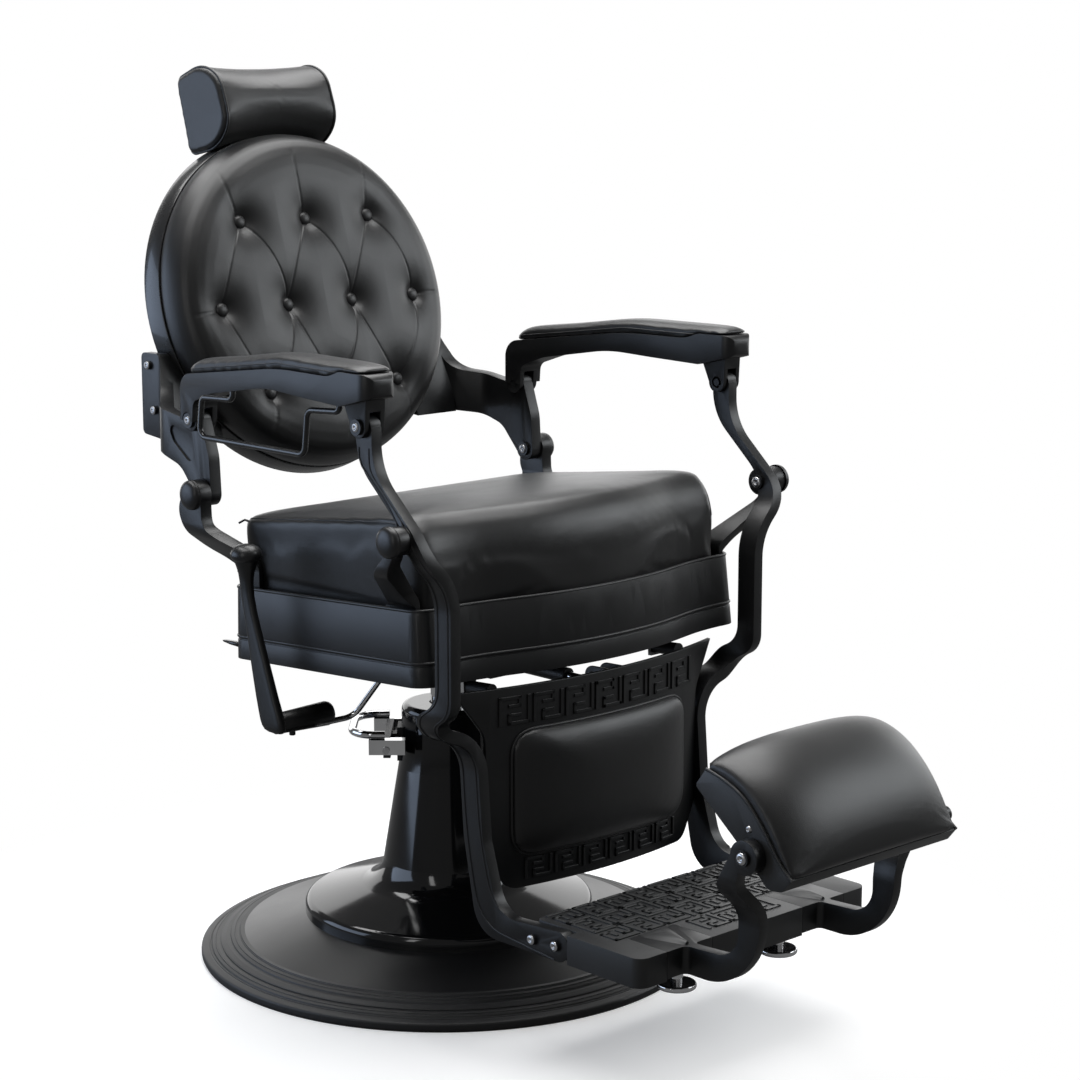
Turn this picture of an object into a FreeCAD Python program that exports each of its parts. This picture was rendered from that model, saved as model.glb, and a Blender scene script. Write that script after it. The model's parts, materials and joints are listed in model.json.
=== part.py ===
"""Hydraulic barber chair: a pump base, a lifting and turning seat, and a reclining back.

The origin is on the floor at the middle of the round base. X points to the sitter's left,
the foot rest is on the -Y side and Z points up. All sizes are millimetres and degrees.

The back, the arm rests, the side frames and the seat make a four-bar linkage on each side:
the back turns about the rear pivot, the side frame about the front pivot, and the arm rest
joins their upper ends.
"""
import FreeCAD
import Part
import Sketcher
import math
import os

from FreeCAD import Placement, Rotation, Vector

SIZES = {
    # Round base and pump
    "ring_radius": 350, "ring_inner": 289, "ring_height": 33, "ring_lip": 12,
    "ring_grooves": 4, "ring_web": 2, "plate_top": 57, "plate_wall": 5,
    "bell_radius": 203, "bell_rim": 19, "throat_radius": 96, "throat_height": 105,
    "neck_radius": 66.5, "neck_height": 285, "cover_top_radius": 64.2, "cover_top": 355,
    "cover_wall": 3, "housing_radius": 58, "housing_flange": 84, "housing_top": 150,
    "flange_thickness": 12, "cylinder_radius": 36, "cylinder_bore": 29, "cylinder_top": 335,
    "gland_height": 14, "piston_radius": 24, "piston_head": 14, "piston_low": 158,
    "piston_shoulder": 402, "spindle_radius": 18, "spindle_length": 32, "slide_fit": 0.05,
    # Foot pump lever; it leaves towards the rear right
    "lever_turn": 136.6, "lever_out": 50, "lever_height": 302, "lever_stem": 18,
    "yoke_out": 78, "yoke_depth": 10, "yoke_height": 30, "yoke_width": 104, "bar_size": 16,
    "bar_height": 21, "bar_inner": 57, "bar_outer": 107, "hoop_height": 322,
    "hoop_tube": 5.5, "hoop_reach": 132, "hoop_start": 85, "hoop_bend": 34,
    # Seat: the skirt band and the cushion are tilted, higher at the front
    "seat_tilt": 3.5, "seat_centre": -86, "band_bottom": 458, "band_height": 97,
    "band_half": 286, "band_front": -194, "band_apex": -258, "band_shoulder": 212,
    "band_rear": 196, "band_corner": 24, "band_wall": 3, "band_draft": 5, "band_groove": 26,
    "groove_width": 3, "groove_depth": 1.2,
    "board_thickness": 12, "board_lift": 60, "cushion_half": 275, "cushion_seam": 127,
    "cushion_crown": 10, "cushion_roll": 66, "cushion_rise": 3.8, "hub_radius": 44, "hub_top": 436,
    "hub_plate": 6, "rail_place": 95, "rail_width": 30, "bracket_inside": 273.5,
    "bracket_thickness": 6.5,
    # Linkage pivots: y and z in the side view
    "rear_pivot_y": 148, "rear_pivot_z": 667, "rear_clevis_y": 164, "rear_clevis_z": 765,
    "front_clevis_y": -220, "front_clevis_z": 798, "front_pivot_y": -294,
    "front_pivot_z": 666, "pivot_pin": 5, "pin_head": 10, "cap_radius": 20,
    "cap_height": 11, "boss_radius": 18, "boss_thickness": 18, "post_inside": 286,
    "post_thickness": 18, "frame_outside": 330, "frame_thickness": 16, "link_gap": 0.6,
    "clevis_play": 3,
    # Side frames
    "frame_waist": 285, "frame_foot": 210, "upper_jog": 621, "upper_slant": 45,
    "lower_jog": 395, "lower_slant": 74, "frame_depth": 30, "frame_low_depth": 36,
    "knee_y": -330, "shin_y": -291, "foot_bottom": 138, "foot_strap": 38, "foot_end": -460,
    # Round back, leaning back
    "back_tilt": 15.5, "back_y": 346, "back_z": 886, "back_radius": 248, "shell_depth": 31,
    "shell_draft": 4, "shell_wall": 3, "pad_radius": 236, "pad_depth": 84, "pad_crown": 4,
    "button_radius": 9, "button_pitch": 116, "button_row": 122, "button_drop": 10,
    "tuft_depth": 17, "tuft_radius": 34, "cover_radius": 232, "cover_depth": 12,
    "headrest_half": 104, "headrest_back": -13, "headrest_up": 286, "headrest_height": 118, "headrest_depth": 71,
    "headrest_waist": 23, "headrest_saddle": 11, "post_radius": 7, "post_place": 45,
    # Arm rests
    "arm_rear": 180, "arm_tip": -253, "arm_skew": 3.65, "arm_wide": 28.5,
    "arm_narrow": 19.5, "ear_thickness": 7, "arm_pad_thickness": 18, "towel_bar": 4,
    # Leg panel, foot plate and leg rest
    "panel_top": 455, "panel_bottom": 187, "panel_flare": 236, "panel_radius": 760,
    "panel_front": -318, "panel_thickness": 6, "leg_pad_half": 163, "leg_pad_bottom": 230,
    "leg_pad_top": 397, "leg_pad_corner": 36, "leg_pad_thickness": 24, "plate_half": 212,
    "plate_rear": -388, "plate_front": -587, "foot_plate_top": 177,
    "foot_plate_bottom": 139, "foot_plate_wall": 6, "root_inner": 84, "root_outer": 165,
    "root_rear": -520, "foot_pad_x": 95, "foot_pad_y": -537, "foot_pad_radius": 25,
    "foot_pad_bottom": 101, "rest_pivot_y": -714, "rest_pivot_z": 325, "rest_arm": 171,
    "rest_arm_low": 132.5, "rest_arm_width": 15, "rest_boss": 21, "rest_half": 154,
    "rest_wall": 4,
    # Recline lever and lock strut
    "lever_x": -337, "lever_plate": 14, "lever_axis_y": -112, "lever_axis_z": 455,
    "knob_y": 24, "knob_z": 603, "knob_radius": 21, "lever_foot_y": -34,
    "lever_foot_z": 387, "lever_foot_length": 92, "lever_foot_radius": 16.5, "rod_foot_y": -44,
    "rod_foot_z": 378, "rod_bend_x": -206, "rod_radius": 4, "strut_x": 70, "strut_z": 410, "strut_rear": 60,
    "strut_length": 230, "strut_pin_y": -233, "strut_radius": 11, "strut_rod": 6,
    "slot_play": 1.2,
}

doc = FreeCAD.newDocument("BarberChair")
nodes = []


class Size:
    """A number together with the sheet formula that produces it."""

    def __init__(self, number, formula):
        self.number = float(number)
        self.formula = formula

    def __add__(self, other):
        other = size(other)
        return Size(self.number + other.number, f"({self.formula} + {other.formula})")

    def __sub__(self, other):
        other = size(other)
        return Size(self.number - other.number, f"({self.formula} - {other.formula})")

    def __mul__(self, other):
        other = size(other)
        return Size(self.number * other.number, f"({self.formula} * {other.formula})")

    def __truediv__(self, other):
        other = size(other)
        return Size(self.number / other.number, f"({self.formula} / {other.formula})")

    def __neg__(self):
        return Size(-self.number, f"(0 - {self.formula})")

    def __radd__(self, other):
        return size(other) + self

    def __rsub__(self, other):
        return size(other) - self

    def __rmul__(self, other):
        return size(other) * self

    def __rtruediv__(self, other):
        return size(other) / self

    def __float__(self):
        return self.number


def size(value):
    """Read a plain number as a size."""
    return value if isinstance(value, Size) else Size(value, f"{float(value):.6f}")


def angle_function(name, function):
    """Make a sine, cosine or tangent of an angle in degrees that keeps its formula."""
    def of_angle(angle):
        angle = size(angle)
        return Size(function(math.radians(angle.number)), f"{name}({angle.formula} * 1deg)")
    return of_angle


sin = angle_function("sin", math.sin)
cos = angle_function("cos", math.cos)
tan = angle_function("tan", math.tan)


def root(value):
    """Give a size's square root."""
    return Size(math.sqrt(value.number), f"sqrt({value.formula})")


def write_sheet():
    """Write every driving size into the sheet, with its name as the alias."""
    sheet = doc.addObject("Spreadsheet::Sheet", "Sizes")
    for row, (word, number) in enumerate(SIZES.items(), start=1):
        sheet.set(f"A{row}", word)
        sheet.set(f"B{row}", str(number))
        sheet.setAlias(f"B{row}", word)
    doc.recompute()


class Words:
    """Give each sheet word as a size."""

    def __getattr__(self, word):
        return Size(SIZES[word], f"Sizes.{word}")


s = Words()


def tie(thing, path, value):
    """Tie one property to the sheet when its size comes from there."""
    value = size(value)
    if "Sizes." in value.formula:
        thing.setExpression(path, value.formula)


def bind(thing, **values):
    """Set properties and tie each one that comes from the sheet to its formula."""
    for name, value in values.items():
        setattr(thing, name, size(value).number)
        tie(thing, name, value)
    return thing


def place(thing, x=0, y=0, z=0, axis=(0, 0, 1), angle=0):
    """Place a piece; its position and angle follow the sheet."""
    thing.Placement = Placement(Vector(float(x), float(y), float(z)),
                                Rotation(Vector(*axis), float(angle)))
    tie(thing, ".Placement.Base.x", x)
    tie(thing, ".Placement.Base.y", y)
    tie(thing, ".Placement.Base.z", z)
    tie(thing, ".Placement.Rotation.Angle", angle)
    return thing


def node(name, thing):
    """Keep a piece as a sub-part under its own name."""
    thing.Label = name
    nodes.append(thing)
    return thing


# Outlines: closed rows of corners, each (x, y) or (x, y, rounding radius)

def plain(corners):
    """Give the corners' numbers: a point and a rounding radius each."""
    numbers = [[float(value) for value in corner] for corner in corners]
    return [(Vector(row[0], row[1], 0), row[2] if len(row) == 3 else 0) for row in numbers]


def rounding(before, corner, after, radius):
    """Give where a rounding starts and ends, and its middle point."""
    back = (before - corner).normalize()
    onward = (after - corner).normalize()
    half = back.getAngle(onward) / 2
    reach = radius / math.tan(half)
    middle = (back + onward).normalize()
    centre = corner + middle * (radius / math.sin(half))
    return corner + back * reach, corner + onward * reach, centre - middle * radius


def outline_edges(corners):
    """Give the outline's straight edges and arcs in order."""
    points = plain(corners)
    ends = []
    for index, (corner, radius) in enumerate(points):
        before, after = points[index - 1][0], points[(index + 1) % len(points)][0]
        ends.append(rounding(before, corner, after, radius) if radius else (corner, corner, None))
    edges = []
    for index, (start, end, middle) in enumerate(ends):
        edges.append(Part.LineSegment(ends[index - 1][1], start))
        if middle:
            edges.append(Part.Arc(start, middle, end))
    return edges


def runs_left(arc, line):
    """Say whether the arc that follows a line turns left."""
    middle = arc.value((arc.FirstParameter + arc.LastParameter) / 2)
    along = line.EndPoint - line.StartPoint
    return along.cross(middle - line.EndPoint).z > 0


def draw(sketch, corners):
    """Draw a closed outline whose corners and roundings follow the sheet."""
    edges = outline_edges(corners)
    first = sketch.GeometryCount
    sketch.addGeometry(edges, False)
    lines = [first + index for index, edge in enumerate(edges)
             if isinstance(edge, Part.LineSegment)]
    rules, formulas = [], []

    def rule(kind, *values, value=None):
        """Add one rule; the last part of it is a size when one is given."""
        if value is None:
            rules.append(Sketcher.Constraint(kind, *values))
            return
        value = size(value)
        rules.append(Sketcher.Constraint(kind, *values, value.number))
        if "Sizes." in value.formula:
            formulas.append((len(rules) - 1, value.formula))

    for index, corner in enumerate(corners):
        line, following = lines[index], lines[(index + 1) % len(lines)]
        spot = (line, 2)
        if len(corner) == 3:
            arc = line + 1
            left = runs_left(edges[arc - first], edges[line - first])
            start, end = (1, 2) if left else (2, 1)
            rule("Tangent", line, 2, arc, start)
            rule("Tangent", arc, end, following, 1)
            rule("Radius", arc, value=corner[2])
            vertex = Part.Point(Vector(float(corner[0]), float(corner[1]), 0))
            spot = (sketch.addGeometry(vertex, True), 1)
            rule("PointOnObject", *spot, line)
            rule("PointOnObject", *spot, following)
        else:
            rule("Coincident", line, 2, following, 1)
        rule("DistanceX", *spot, value=corner[0])
        rule("DistanceY", *spot, value=corner[1])
    begin = sketch.ConstraintCount
    sketch.addConstraint(rules)
    for index, formula in formulas:
        sketch.setExpression(f"Constraints[{begin + index}]", formula)


def draw_circle(sketch, x, y, radius):
    """Draw a circle that follows the sheet."""
    circle = Part.Circle(Vector(float(x), float(y), 0), Vector(0, 0, 1), float(radius))
    index = sketch.addGeometry(circle, False)
    for kind, value in (("DistanceX", x), ("DistanceY", y)):
        rule = sketch.addConstraint(Sketcher.Constraint(kind, index, 3, float(value)))
        tie(sketch, f"Constraints[{rule}]", value)
    rule = sketch.addConstraint(Sketcher.Constraint("Radius", index, float(radius)))
    tie(sketch, f"Constraints[{rule}]", radius)


def wire(corners, placement=None):
    """Make an outline's wire, placed in space, for a free form."""
    result = Part.Wire([edge.toShape() for edge in outline_edges(corners)])
    if placement:
        result.Placement = placement
    return result


# Pieces made from outlines

def sketch_on(body, plane, offset=0):
    """Add a sketch on one of the body's own planes, moved along the plane's normal."""
    support = next(item for item in body.Origin.OriginFeatures if item.Role == plane + "_Plane")
    sketch = body.newObject("Sketcher::SketchObject", body.Name + "_sketch")
    sketch.AttachmentSupport = [(support, "")]
    sketch.MapMode = "FlatFace"
    sketch.AttachmentOffset = Placement(Vector(0, 0, float(offset)), Rotation())
    tie(sketch, ".AttachmentOffset.Base.z", offset)
    return sketch


def pad(name, plane, start, end, *outlines, draft=0):
    """Extrude outlines in a plane from one place to another along the third axis.

    An outline is a row of corners, or a dict with a circle's x, y and radius. A draft is how
    far the sides lean inwards by the far end.
    """
    body = doc.addObject("PartDesign::Body", name)
    start, end = size(start), size(end)
    sketch = sketch_on(body, plane, -end if plane == "XZ" else start)
    for outline in outlines:
        if isinstance(outline, dict):
            draw_circle(sketch, **outline)
        else:
            draw(sketch, outline)
    feature = body.newObject("PartDesign::Pad", name + "_pad")
    feature.Profile = sketch
    bind(feature, Length=end - start)
    if draft:
        lean = draft / (end - start)
        feature.TaperAngle = -math.degrees(math.atan(lean.number))
        tie(feature, "TaperAngle", Size(0, f"-atan({lean.formula})"))
    return body


def turn(name, *outlines):
    """Turn outlines of (radius, height) about the upright axis."""
    body = doc.addObject("PartDesign::Body", name)
    sketch = sketch_on(body, "XZ")
    for outline in outlines:
        draw(sketch, outline)
    feature = body.newObject("PartDesign::Revolution", name + "_turn")
    feature.Profile = sketch
    feature.ReferenceAxis = (sketch, ["V_Axis"])
    feature.Angle = 360
    return body


def box(x0, x1, y0, y1, z0, z1):
    """Make a box between two corners."""
    x0, x1, y0, y1, z0, z1 = (size(value) for value in (x0, x1, y0, y1, z0, z1))
    thing = doc.addObject("Part::Box", "block")
    bind(thing, Length=x1 - x0, Width=y1 - y0, Height=z1 - z0)
    return place(thing, x0, y0, z0)


def rod(radius, start, end, x=0, y=0, z=0, along="x"):
    """Make a round rod along one axis, from one place to another on it."""
    start, end = size(start), size(end)
    thing = doc.addObject("Part::Cylinder", "rod")
    bind(thing, Radius=radius, Height=end - start)
    if along == "x":
        return place(thing, start, y, z, (0, 1, 0), 90)
    if along == "y":
        return place(thing, x, start, z, (1, 0, 0), -90)
    return place(thing, x, y, start)


def dome(radius, height, x, y, z):
    """Make a domed cap whose flat base is at one place along X."""
    cap = turn("dome", [(0, 0), (radius, 0), (radius, height * 0.3),
                        (radius * 0.62, height, radius * 0.4), (0, height)])
    return place(cap, x, y, z, (0, 1, 0), 90)


def cut(base, *tools):
    """Cut tools out of a piece."""
    for tool in tools:
        result = doc.addObject("Part::Cut", "cut")
        result.Base = base
        result.Tool = tool
        base = result
    return base


def fuse(*things):
    """Join pieces into one."""
    result = doc.addObject("Part::MultiFuse", "fuse")
    result.Shapes = list(things)
    result.Refine = True
    return result


def common(*things):
    """Keep what all the pieces share, such as a side view and a front view."""
    result = doc.addObject("Part::MultiCommon", "common")
    result.Shapes = list(things)
    return result


def group(*things):
    """Keep separate solids together as one sub-part."""
    result = doc.addObject("Part::Compound", "group")
    result.Links = list(things)
    return result


def mirrored(thing):
    """Mirror a piece to the other side of the chair."""
    result = doc.addObject("Part::Mirroring", "mirrored")
    result.Source = thing
    result.Normal = Vector(1, 0, 0)
    return result


def pair(name, left):
    """Keep a piece of the sitter's left side, and its mirror image on the right."""
    node(name + "_left", left)
    node(name + "_right", mirrored(left))


def both(name, left):
    """Keep a small piece and its mirror image as one sub-part."""
    node(name, group(left, mirrored(left)))


def free_form(name, shape):
    """Keep a soft form that needs lofts through worked-out sections."""
    thing = doc.addObject("Part::Feature", name)
    thing.Shape = shape
    return thing


def jog_corners(inset, radius, top_x, low_x, height, slant):
    """Give the two rounded corners where an upright strip steps sideways on its way down.

    The inset moves the edge parallel to the strip's outer edge.
    """
    rise = (top_x - low_x) / (2 * tan(slant))
    lean = inset * tan(slant / 2)
    return ((top_x - inset, height + rise + lean, radius - inset),
            (low_x - inset, height - rise + lean, radius + inset))


# Base

def make_base():
    """Make the round base, the glossy cover and the pump inside it."""
    make_ring()
    skirt = s.ring_inner - s.plate_wall
    under = s.plate_top - s.plate_wall * 3
    node("base_plate", turn("base_plate", [
        (0, under), (s.bell_radius, under), (skirt, s.ring_height - s.plate_wall),
        (skirt, s.ring_web), (s.ring_inner, s.ring_web), (s.ring_inner, s.ring_height),
        (s.bell_radius, s.plate_top), (0, s.plate_top)]))
    make_cover()
    low, flange = s.plate_top, s.plate_top + s.flange_thickness
    housing = turn("pump_housing", [
        (0, low), (s.housing_flange, low), (s.housing_flange, flange),
        (s.housing_radius, flange, 10), (s.housing_radius, s.housing_top, 8),
        (0, s.housing_top)])
    node("pump_body", pump_body(housing))
    node("base_bolts", group(*[base_bolt(45 + 90 * quarter) for quarter in range(4)]))
    gland = s.cylinder_radius + 5
    bore = s.piston_radius + s.slide_fit
    top = s.cylinder_top + s.gland_height
    node("gland_nut", turn("gland_nut", [
        (bore, s.cylinder_top), (gland, s.cylinder_top), (gland, top, 3), (bore, top)]))


def make_ring():
    """Make the rubber ring: a sloping top with round grooves, and a web under the plate."""
    outline = [(s.ring_inner - s.plate_wall, 0), (s.ring_radius - 2, 0), (s.ring_radius, 4, 2),
               (s.ring_radius, s.ring_lip, 4)]
    steps = SIZES["ring_grooves"] * 2
    width = (s.ring_radius - s.ring_inner - 8) / steps
    rise = (s.ring_height - s.ring_lip) / steps
    for index in range(steps):
        out = s.ring_radius - 2 - width * (index + 1)
        up = s.ring_lip + rise * (index + 1)
        if index % 2:
            outline.append((out + 1, up - 2))
        outline.append((out, up))
    outline.append((s.ring_inner, s.ring_height))
    outline.append((s.ring_inner, s.ring_web))
    outline.append((s.ring_inner - s.plate_wall, s.ring_web))
    node("rubber_ring", turn("rubber_ring", outline))


def cover_outline(inset):
    """Give the cover's outer side from the rim up to the top edge, moved in by the inset."""
    rim = s.plate_top + s.bell_rim
    return [(s.bell_radius - inset, rim - inset, 10 - inset),
            (s.throat_radius - inset, s.throat_height - inset, 42 + inset),
            (s.neck_radius - inset, s.neck_height, 300),
            (s.cover_top_radius - inset, s.cover_top - inset, 9 - inset)]


def make_cover():
    """Make the bell-shaped cover, and the lipped slot that the pump lever leaves through."""
    bore = s.piston_radius + 2
    low = s.plate_top
    wall = s.cover_wall
    outer = cover_outline(0)
    shell = turn("cover_shell", [
        (s.bell_radius - wall, low), (s.bell_radius, low), *outer, (bore, s.cover_top),
        (bore, s.cover_top - wall), *reversed(cover_outline(wall))])
    half = s.lever_stem / 2
    middle = s.lever_height
    slot = box(s.lever_out - 20, s.lever_out + 40, -half - 3, half + 3, middle - 22, middle + 12)
    node("column_cover", cut(shell, place(group(slot), angle=s.lever_turn)))
    core = turn("cover_core", [(0, low), (s.bell_radius, low), *outer, (0, s.cover_top)])
    lip = box(s.lever_out, s.yoke_out - 7.5, -half - 9, half + 9, middle - 28, middle + 20)
    gap = box(s.lever_out - 1, s.yoke_out, -half - 3, half + 3, middle - 22, middle + 12)
    node("lever_boot", cut(place(group(cut(lip, gap)), angle=s.lever_turn), core))


def base_bolt(angle):
    """Make one hexagon bolt that holds the pump to the base plate."""
    head = doc.addObject("Part::Prism", "bolt")
    head.Polygon = 6
    bind(head, Circumradius=8, Height=7)
    reach = s.housing_flange - 10
    return place(head, reach * cos(angle), reach * sin(angle), s.plate_top + s.flange_thickness)


def pump_body(housing):
    """Give the housing its lift cylinder and the two ears that carry the pump lever."""
    tube = turn("cylinder_tube", [
        (s.cylinder_bore, s.housing_top), (s.cylinder_radius, s.housing_top),
        (s.cylinder_radius, s.cylinder_top), (s.cylinder_bore, s.cylinder_top)])
    half = s.lever_stem / 2 + s.link_gap
    ears = []
    for start in (half, -half - 5):
        ears.append(pad("lever_ear", "XZ", start, start + 5, [
            (s.cylinder_radius - 3, s.lever_height - 14),
            (s.lever_out + 10, s.lever_height - 14, 9),
            (s.lever_out + 10, s.lever_height + 12, 9),
            (s.cylinder_radius - 3, s.lever_height + 12)]))
    hole = rod(s.pivot_pin + s.slide_fit, -30, 30, x=s.lever_out, z=s.lever_height, along="y")
    clevis = place(group(cut(fuse(*ears), hole)), angle=s.lever_turn)
    core = rod(s.cylinder_bore, s.housing_top, s.cylinder_top, along="z")
    return cut(fuse(housing, tube, clevis), core)


# Foot pump lever

def make_pump_lever():
    """Make the lever with its trunnion and yoke, the two square bars and the foot hoop."""
    middle = s.lever_height
    half = s.lever_stem / 2
    stem = box(s.lever_out, s.yoke_out + 1, -half, half, middle - half, middle + half)
    eye = rod(half, -half, half, x=s.lever_out, z=middle, along="y")
    inner = s.yoke_width / 2
    yoke = box(s.yoke_out, s.yoke_out + s.yoke_depth, -inner, inner,
               middle - s.yoke_height / 2, middle + s.yoke_height / 2)
    pin = rod(s.pivot_pin, -half - 6, half + 6, x=s.lever_out, z=middle, along="y")
    node("pump_lever", place(group(fuse(stem, eye, yoke, pin)), angle=s.lever_turn))
    top = s.hoop_height - s.hoop_tube
    outer = inner + s.bar_size
    bars, screws = [], []
    for low, face in ((inner, outer), (-outer, -outer - 4)):
        bars.append(box(s.bar_inner, s.bar_outer, low, low + s.bar_size, top - s.bar_height, top))
        screws.append(rod(5, face, face + 4, x=s.yoke_out + s.yoke_depth / 2, z=middle,
                          along="y"))
    node("lever_bars", place(group(*bars), angle=s.lever_turn))
    node("lever_screws", place(group(*screws), angle=s.lever_turn))
    leg = inner + s.bar_size / 2
    hoop = bent_tube("hoop", s.hoop_tube, [
        (s.hoop_start, -leg, s.hoop_height), (s.hoop_reach, -leg, s.hoop_height),
        (s.hoop_reach, leg, s.hoop_height), (s.hoop_start, leg, s.hoop_height)], [s.hoop_bend] * 2)
    node("lever_hoop", place(group(hoop), angle=s.lever_turn))


def bent_tube(name, radius, path, bends):
    """Bend a round bar along a flat path: straight runs joined by roundings."""
    points = [Vector(*(float(value) for value in point)) for point in path]
    edges, at = [], points[0]
    for before, corner, after, bend in zip(points, points[1:], points[2:], bends):
        start, end, middle = rounding(before, corner, after, float(bend))
        edges.append(Part.LineSegment(at, start).toShape())
        edges.append(Part.Arc(start, middle, end).toShape())
        at = end
    edges.append(Part.LineSegment(at, points[-1]).toShape())
    section = Part.Wire([Part.makeCircle(float(radius), points[0], points[1] - points[0])])
    return free_form(name, Part.Wire(edges).makePipeShell([section], True, False))


# Lift and turn

def make_lift():
    """Make the piston with its spindle, and the welded frame that carries the seat."""
    head = s.cylinder_bore - s.slide_fit
    shoulder = s.piston_shoulder
    node("piston", turn("piston", [
        (0, s.piston_low), (head, s.piston_low), (head, s.piston_low + s.piston_head),
        (s.piston_radius, s.piston_low + s.piston_head), (s.piston_radius, shoulder),
        (s.spindle_radius, shoulder), (s.spindle_radius, shoulder + s.spindle_length, 2),
        (0, shoulder + s.spindle_length)]))
    bore = s.spindle_radius + s.slide_fit
    hub = turn("hub", [(bore, shoulder), (s.hub_radius, shoulder, 4), (s.hub_radius, s.hub_top),
                       (bore, s.hub_top)])
    plate = pad("hub_plate", "XY", s.hub_top, s.hub_top + s.hub_plate, [
        (-120, -100, 12), (120, -100, 12), (120, 100, 12), (-120, 100, 12)])
    grip = s.strut_radius + 5
    saddle = cut(box(s.strut_x - grip, s.strut_x + grip, -70, 10, s.strut_z - 4, s.hub_top + 1),
                 rod(s.strut_radius + s.slide_fit, -80, 20, x=s.strut_x, z=s.strut_z, along="y"))
    low = s.hub_top + s.hub_plate
    inner = s.rail_place - s.rail_width / 2
    outer = s.rail_place + s.rail_width / 2
    rail = pad("rail", "YZ", inner, outer, [
        (-210, low), (70, low), (70, under_board(70)), (-210, under_board(-210))])
    hollow = pad("rail_hollow", "YZ", inner + 4, outer + 1, [
        (-211, low + 4), (71, low + 4), (71, under_board(71) - 4), (-211, under_board(-211) - 4)])
    hole = rod(s.rod_radius + s.slide_fit, 0, 140, y=s.lever_axis_y, z=s.lever_axis_z)
    left = cut(rail, hollow, hole)
    node("seat_frame", fuse(hub, plate, saddle, left, mirrored(left)))


def under_board(y):
    """Give the height of the seat board's underside at one place."""
    run = (y - s.seat_centre) * sin(s.seat_tilt)
    return s.band_bottom + (s.board_lift - run) / cos(s.seat_tilt)


# Seat

def seat_place(thing):
    """Move a piece drawn level into the tilted seat."""
    return place(thing, y=s.seat_centre, z=s.band_bottom, axis=(1, 0, 0), angle=-s.seat_tilt)


def seat_outline(side, front, rear, corner):
    """Give the seat's outline, moved in at the sides, the bowed ogee front and the rear."""
    half, shoulder = s.band_half - side, s.band_shoulder - side
    ahead, apex = s.band_front + front, s.band_apex + front
    behind = s.band_rear - rear
    return [(half, behind, corner), (-half, behind, corner), (-half, ahead, corner),
            (-shoulder, ahead, 280), (0, apex, 480), (shoulder, ahead, 280),
            (half, ahead, corner)]


def band_outline(inset, height=None):
    """Give the skirt band's outline, moved in from its outside face at one height."""
    height = s.band_height if height is None else height
    flare = s.band_draft * (1 - height / s.band_height)
    moved = inset - flare
    return seat_outline(moved, moved, moved, s.band_corner - moved)


def make_seat():
    """Make the skirt band, the seat board, the cushion and the stops for the side frames."""
    height, floor = s.band_height, size(0)
    skirt = pad("skirt", "XY", 0, height, band_outline(0, floor), draft=s.band_draft)
    inside = pad("skirt_inside", "XY", 0, height, band_outline(s.band_wall, floor),
                 draft=s.band_draft)
    level = s.band_groove
    groove = pad("groove", "XY", level, level + s.groove_width, band_outline(-6, level),
                 band_outline(s.groove_depth, level))
    node("seat_band", seat_place(group(cut(skirt, inside, groove))))
    top = s.board_lift + s.board_thickness
    flare = s.band_draft * (1 - top / height)
    edge = s.band_wall - flare
    board = pad("board", "XY", s.board_lift, top, seat_outline(
        s.band_half - s.bracket_inside, edge, edge, s.band_corner - s.band_wall))
    node("seat_board", seat_place(group(board)))
    cushion = free_form("seat_cushion", seat_cushion_shape())
    node("seat_cushion", seat_place(cushion))
    left = box(161, 183, -152, -146, -32, s.board_lift)
    both_stops = group(left, mirrored(left))
    node("stop_bars", seat_place(both_stops))
    left = rod(9, -194, -152, x=172, z=-21, along="y")
    node("stop_buffers", seat_place(group(left, mirrored(left))))


def seat_cushion_shape():
    """Loft the seat cushion: boxed sides that swell to the seam, a crown and a rolled front."""
    low = s.board_lift.number + s.board_thickness.number
    seam = low + s.cushion_seam.number
    crown, roll = s.cushion_crown.number, s.cushion_roll.number
    inset = s.band_half.number - s.cushion_half.number
    rise = s.cushion_rise.number
    rows = [(low, inset + 6, 0)]
    for step in range(8):
        share = step / 7
        height = seam - s.cushion_seam.number * 0.72 * (1 - share)
        rows.append((height, inset + 5 * (1 - share) ** 1.5, rise * share))
    for angle in range(10, 90, 7):
        turned = math.radians(angle)
        rows.append((seam + crown * math.sin(turned), inset + 190 * (1 - math.cos(turned)), rise))
    sections = []
    for height, gap, lean in rows:
        tilt = Placement(Vector(0, 0, height), Rotation(Vector(1, 0, 0), -lean))
        up = max(0, height - (seam + crown - roll)) / roll
        rolled = roll * (1 - math.sqrt(max(0, 1 - up * up)))
        share = 1 - gap / s.band_half.number
        outline = seat_outline(0, rolled, 0, s.band_corner + rolled * 0.2)
        sections.append(wire([[float(value) * share for value in corner] for corner in outline],
                             tilt))
    return Part.makeLoft(sections, True, True)


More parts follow.
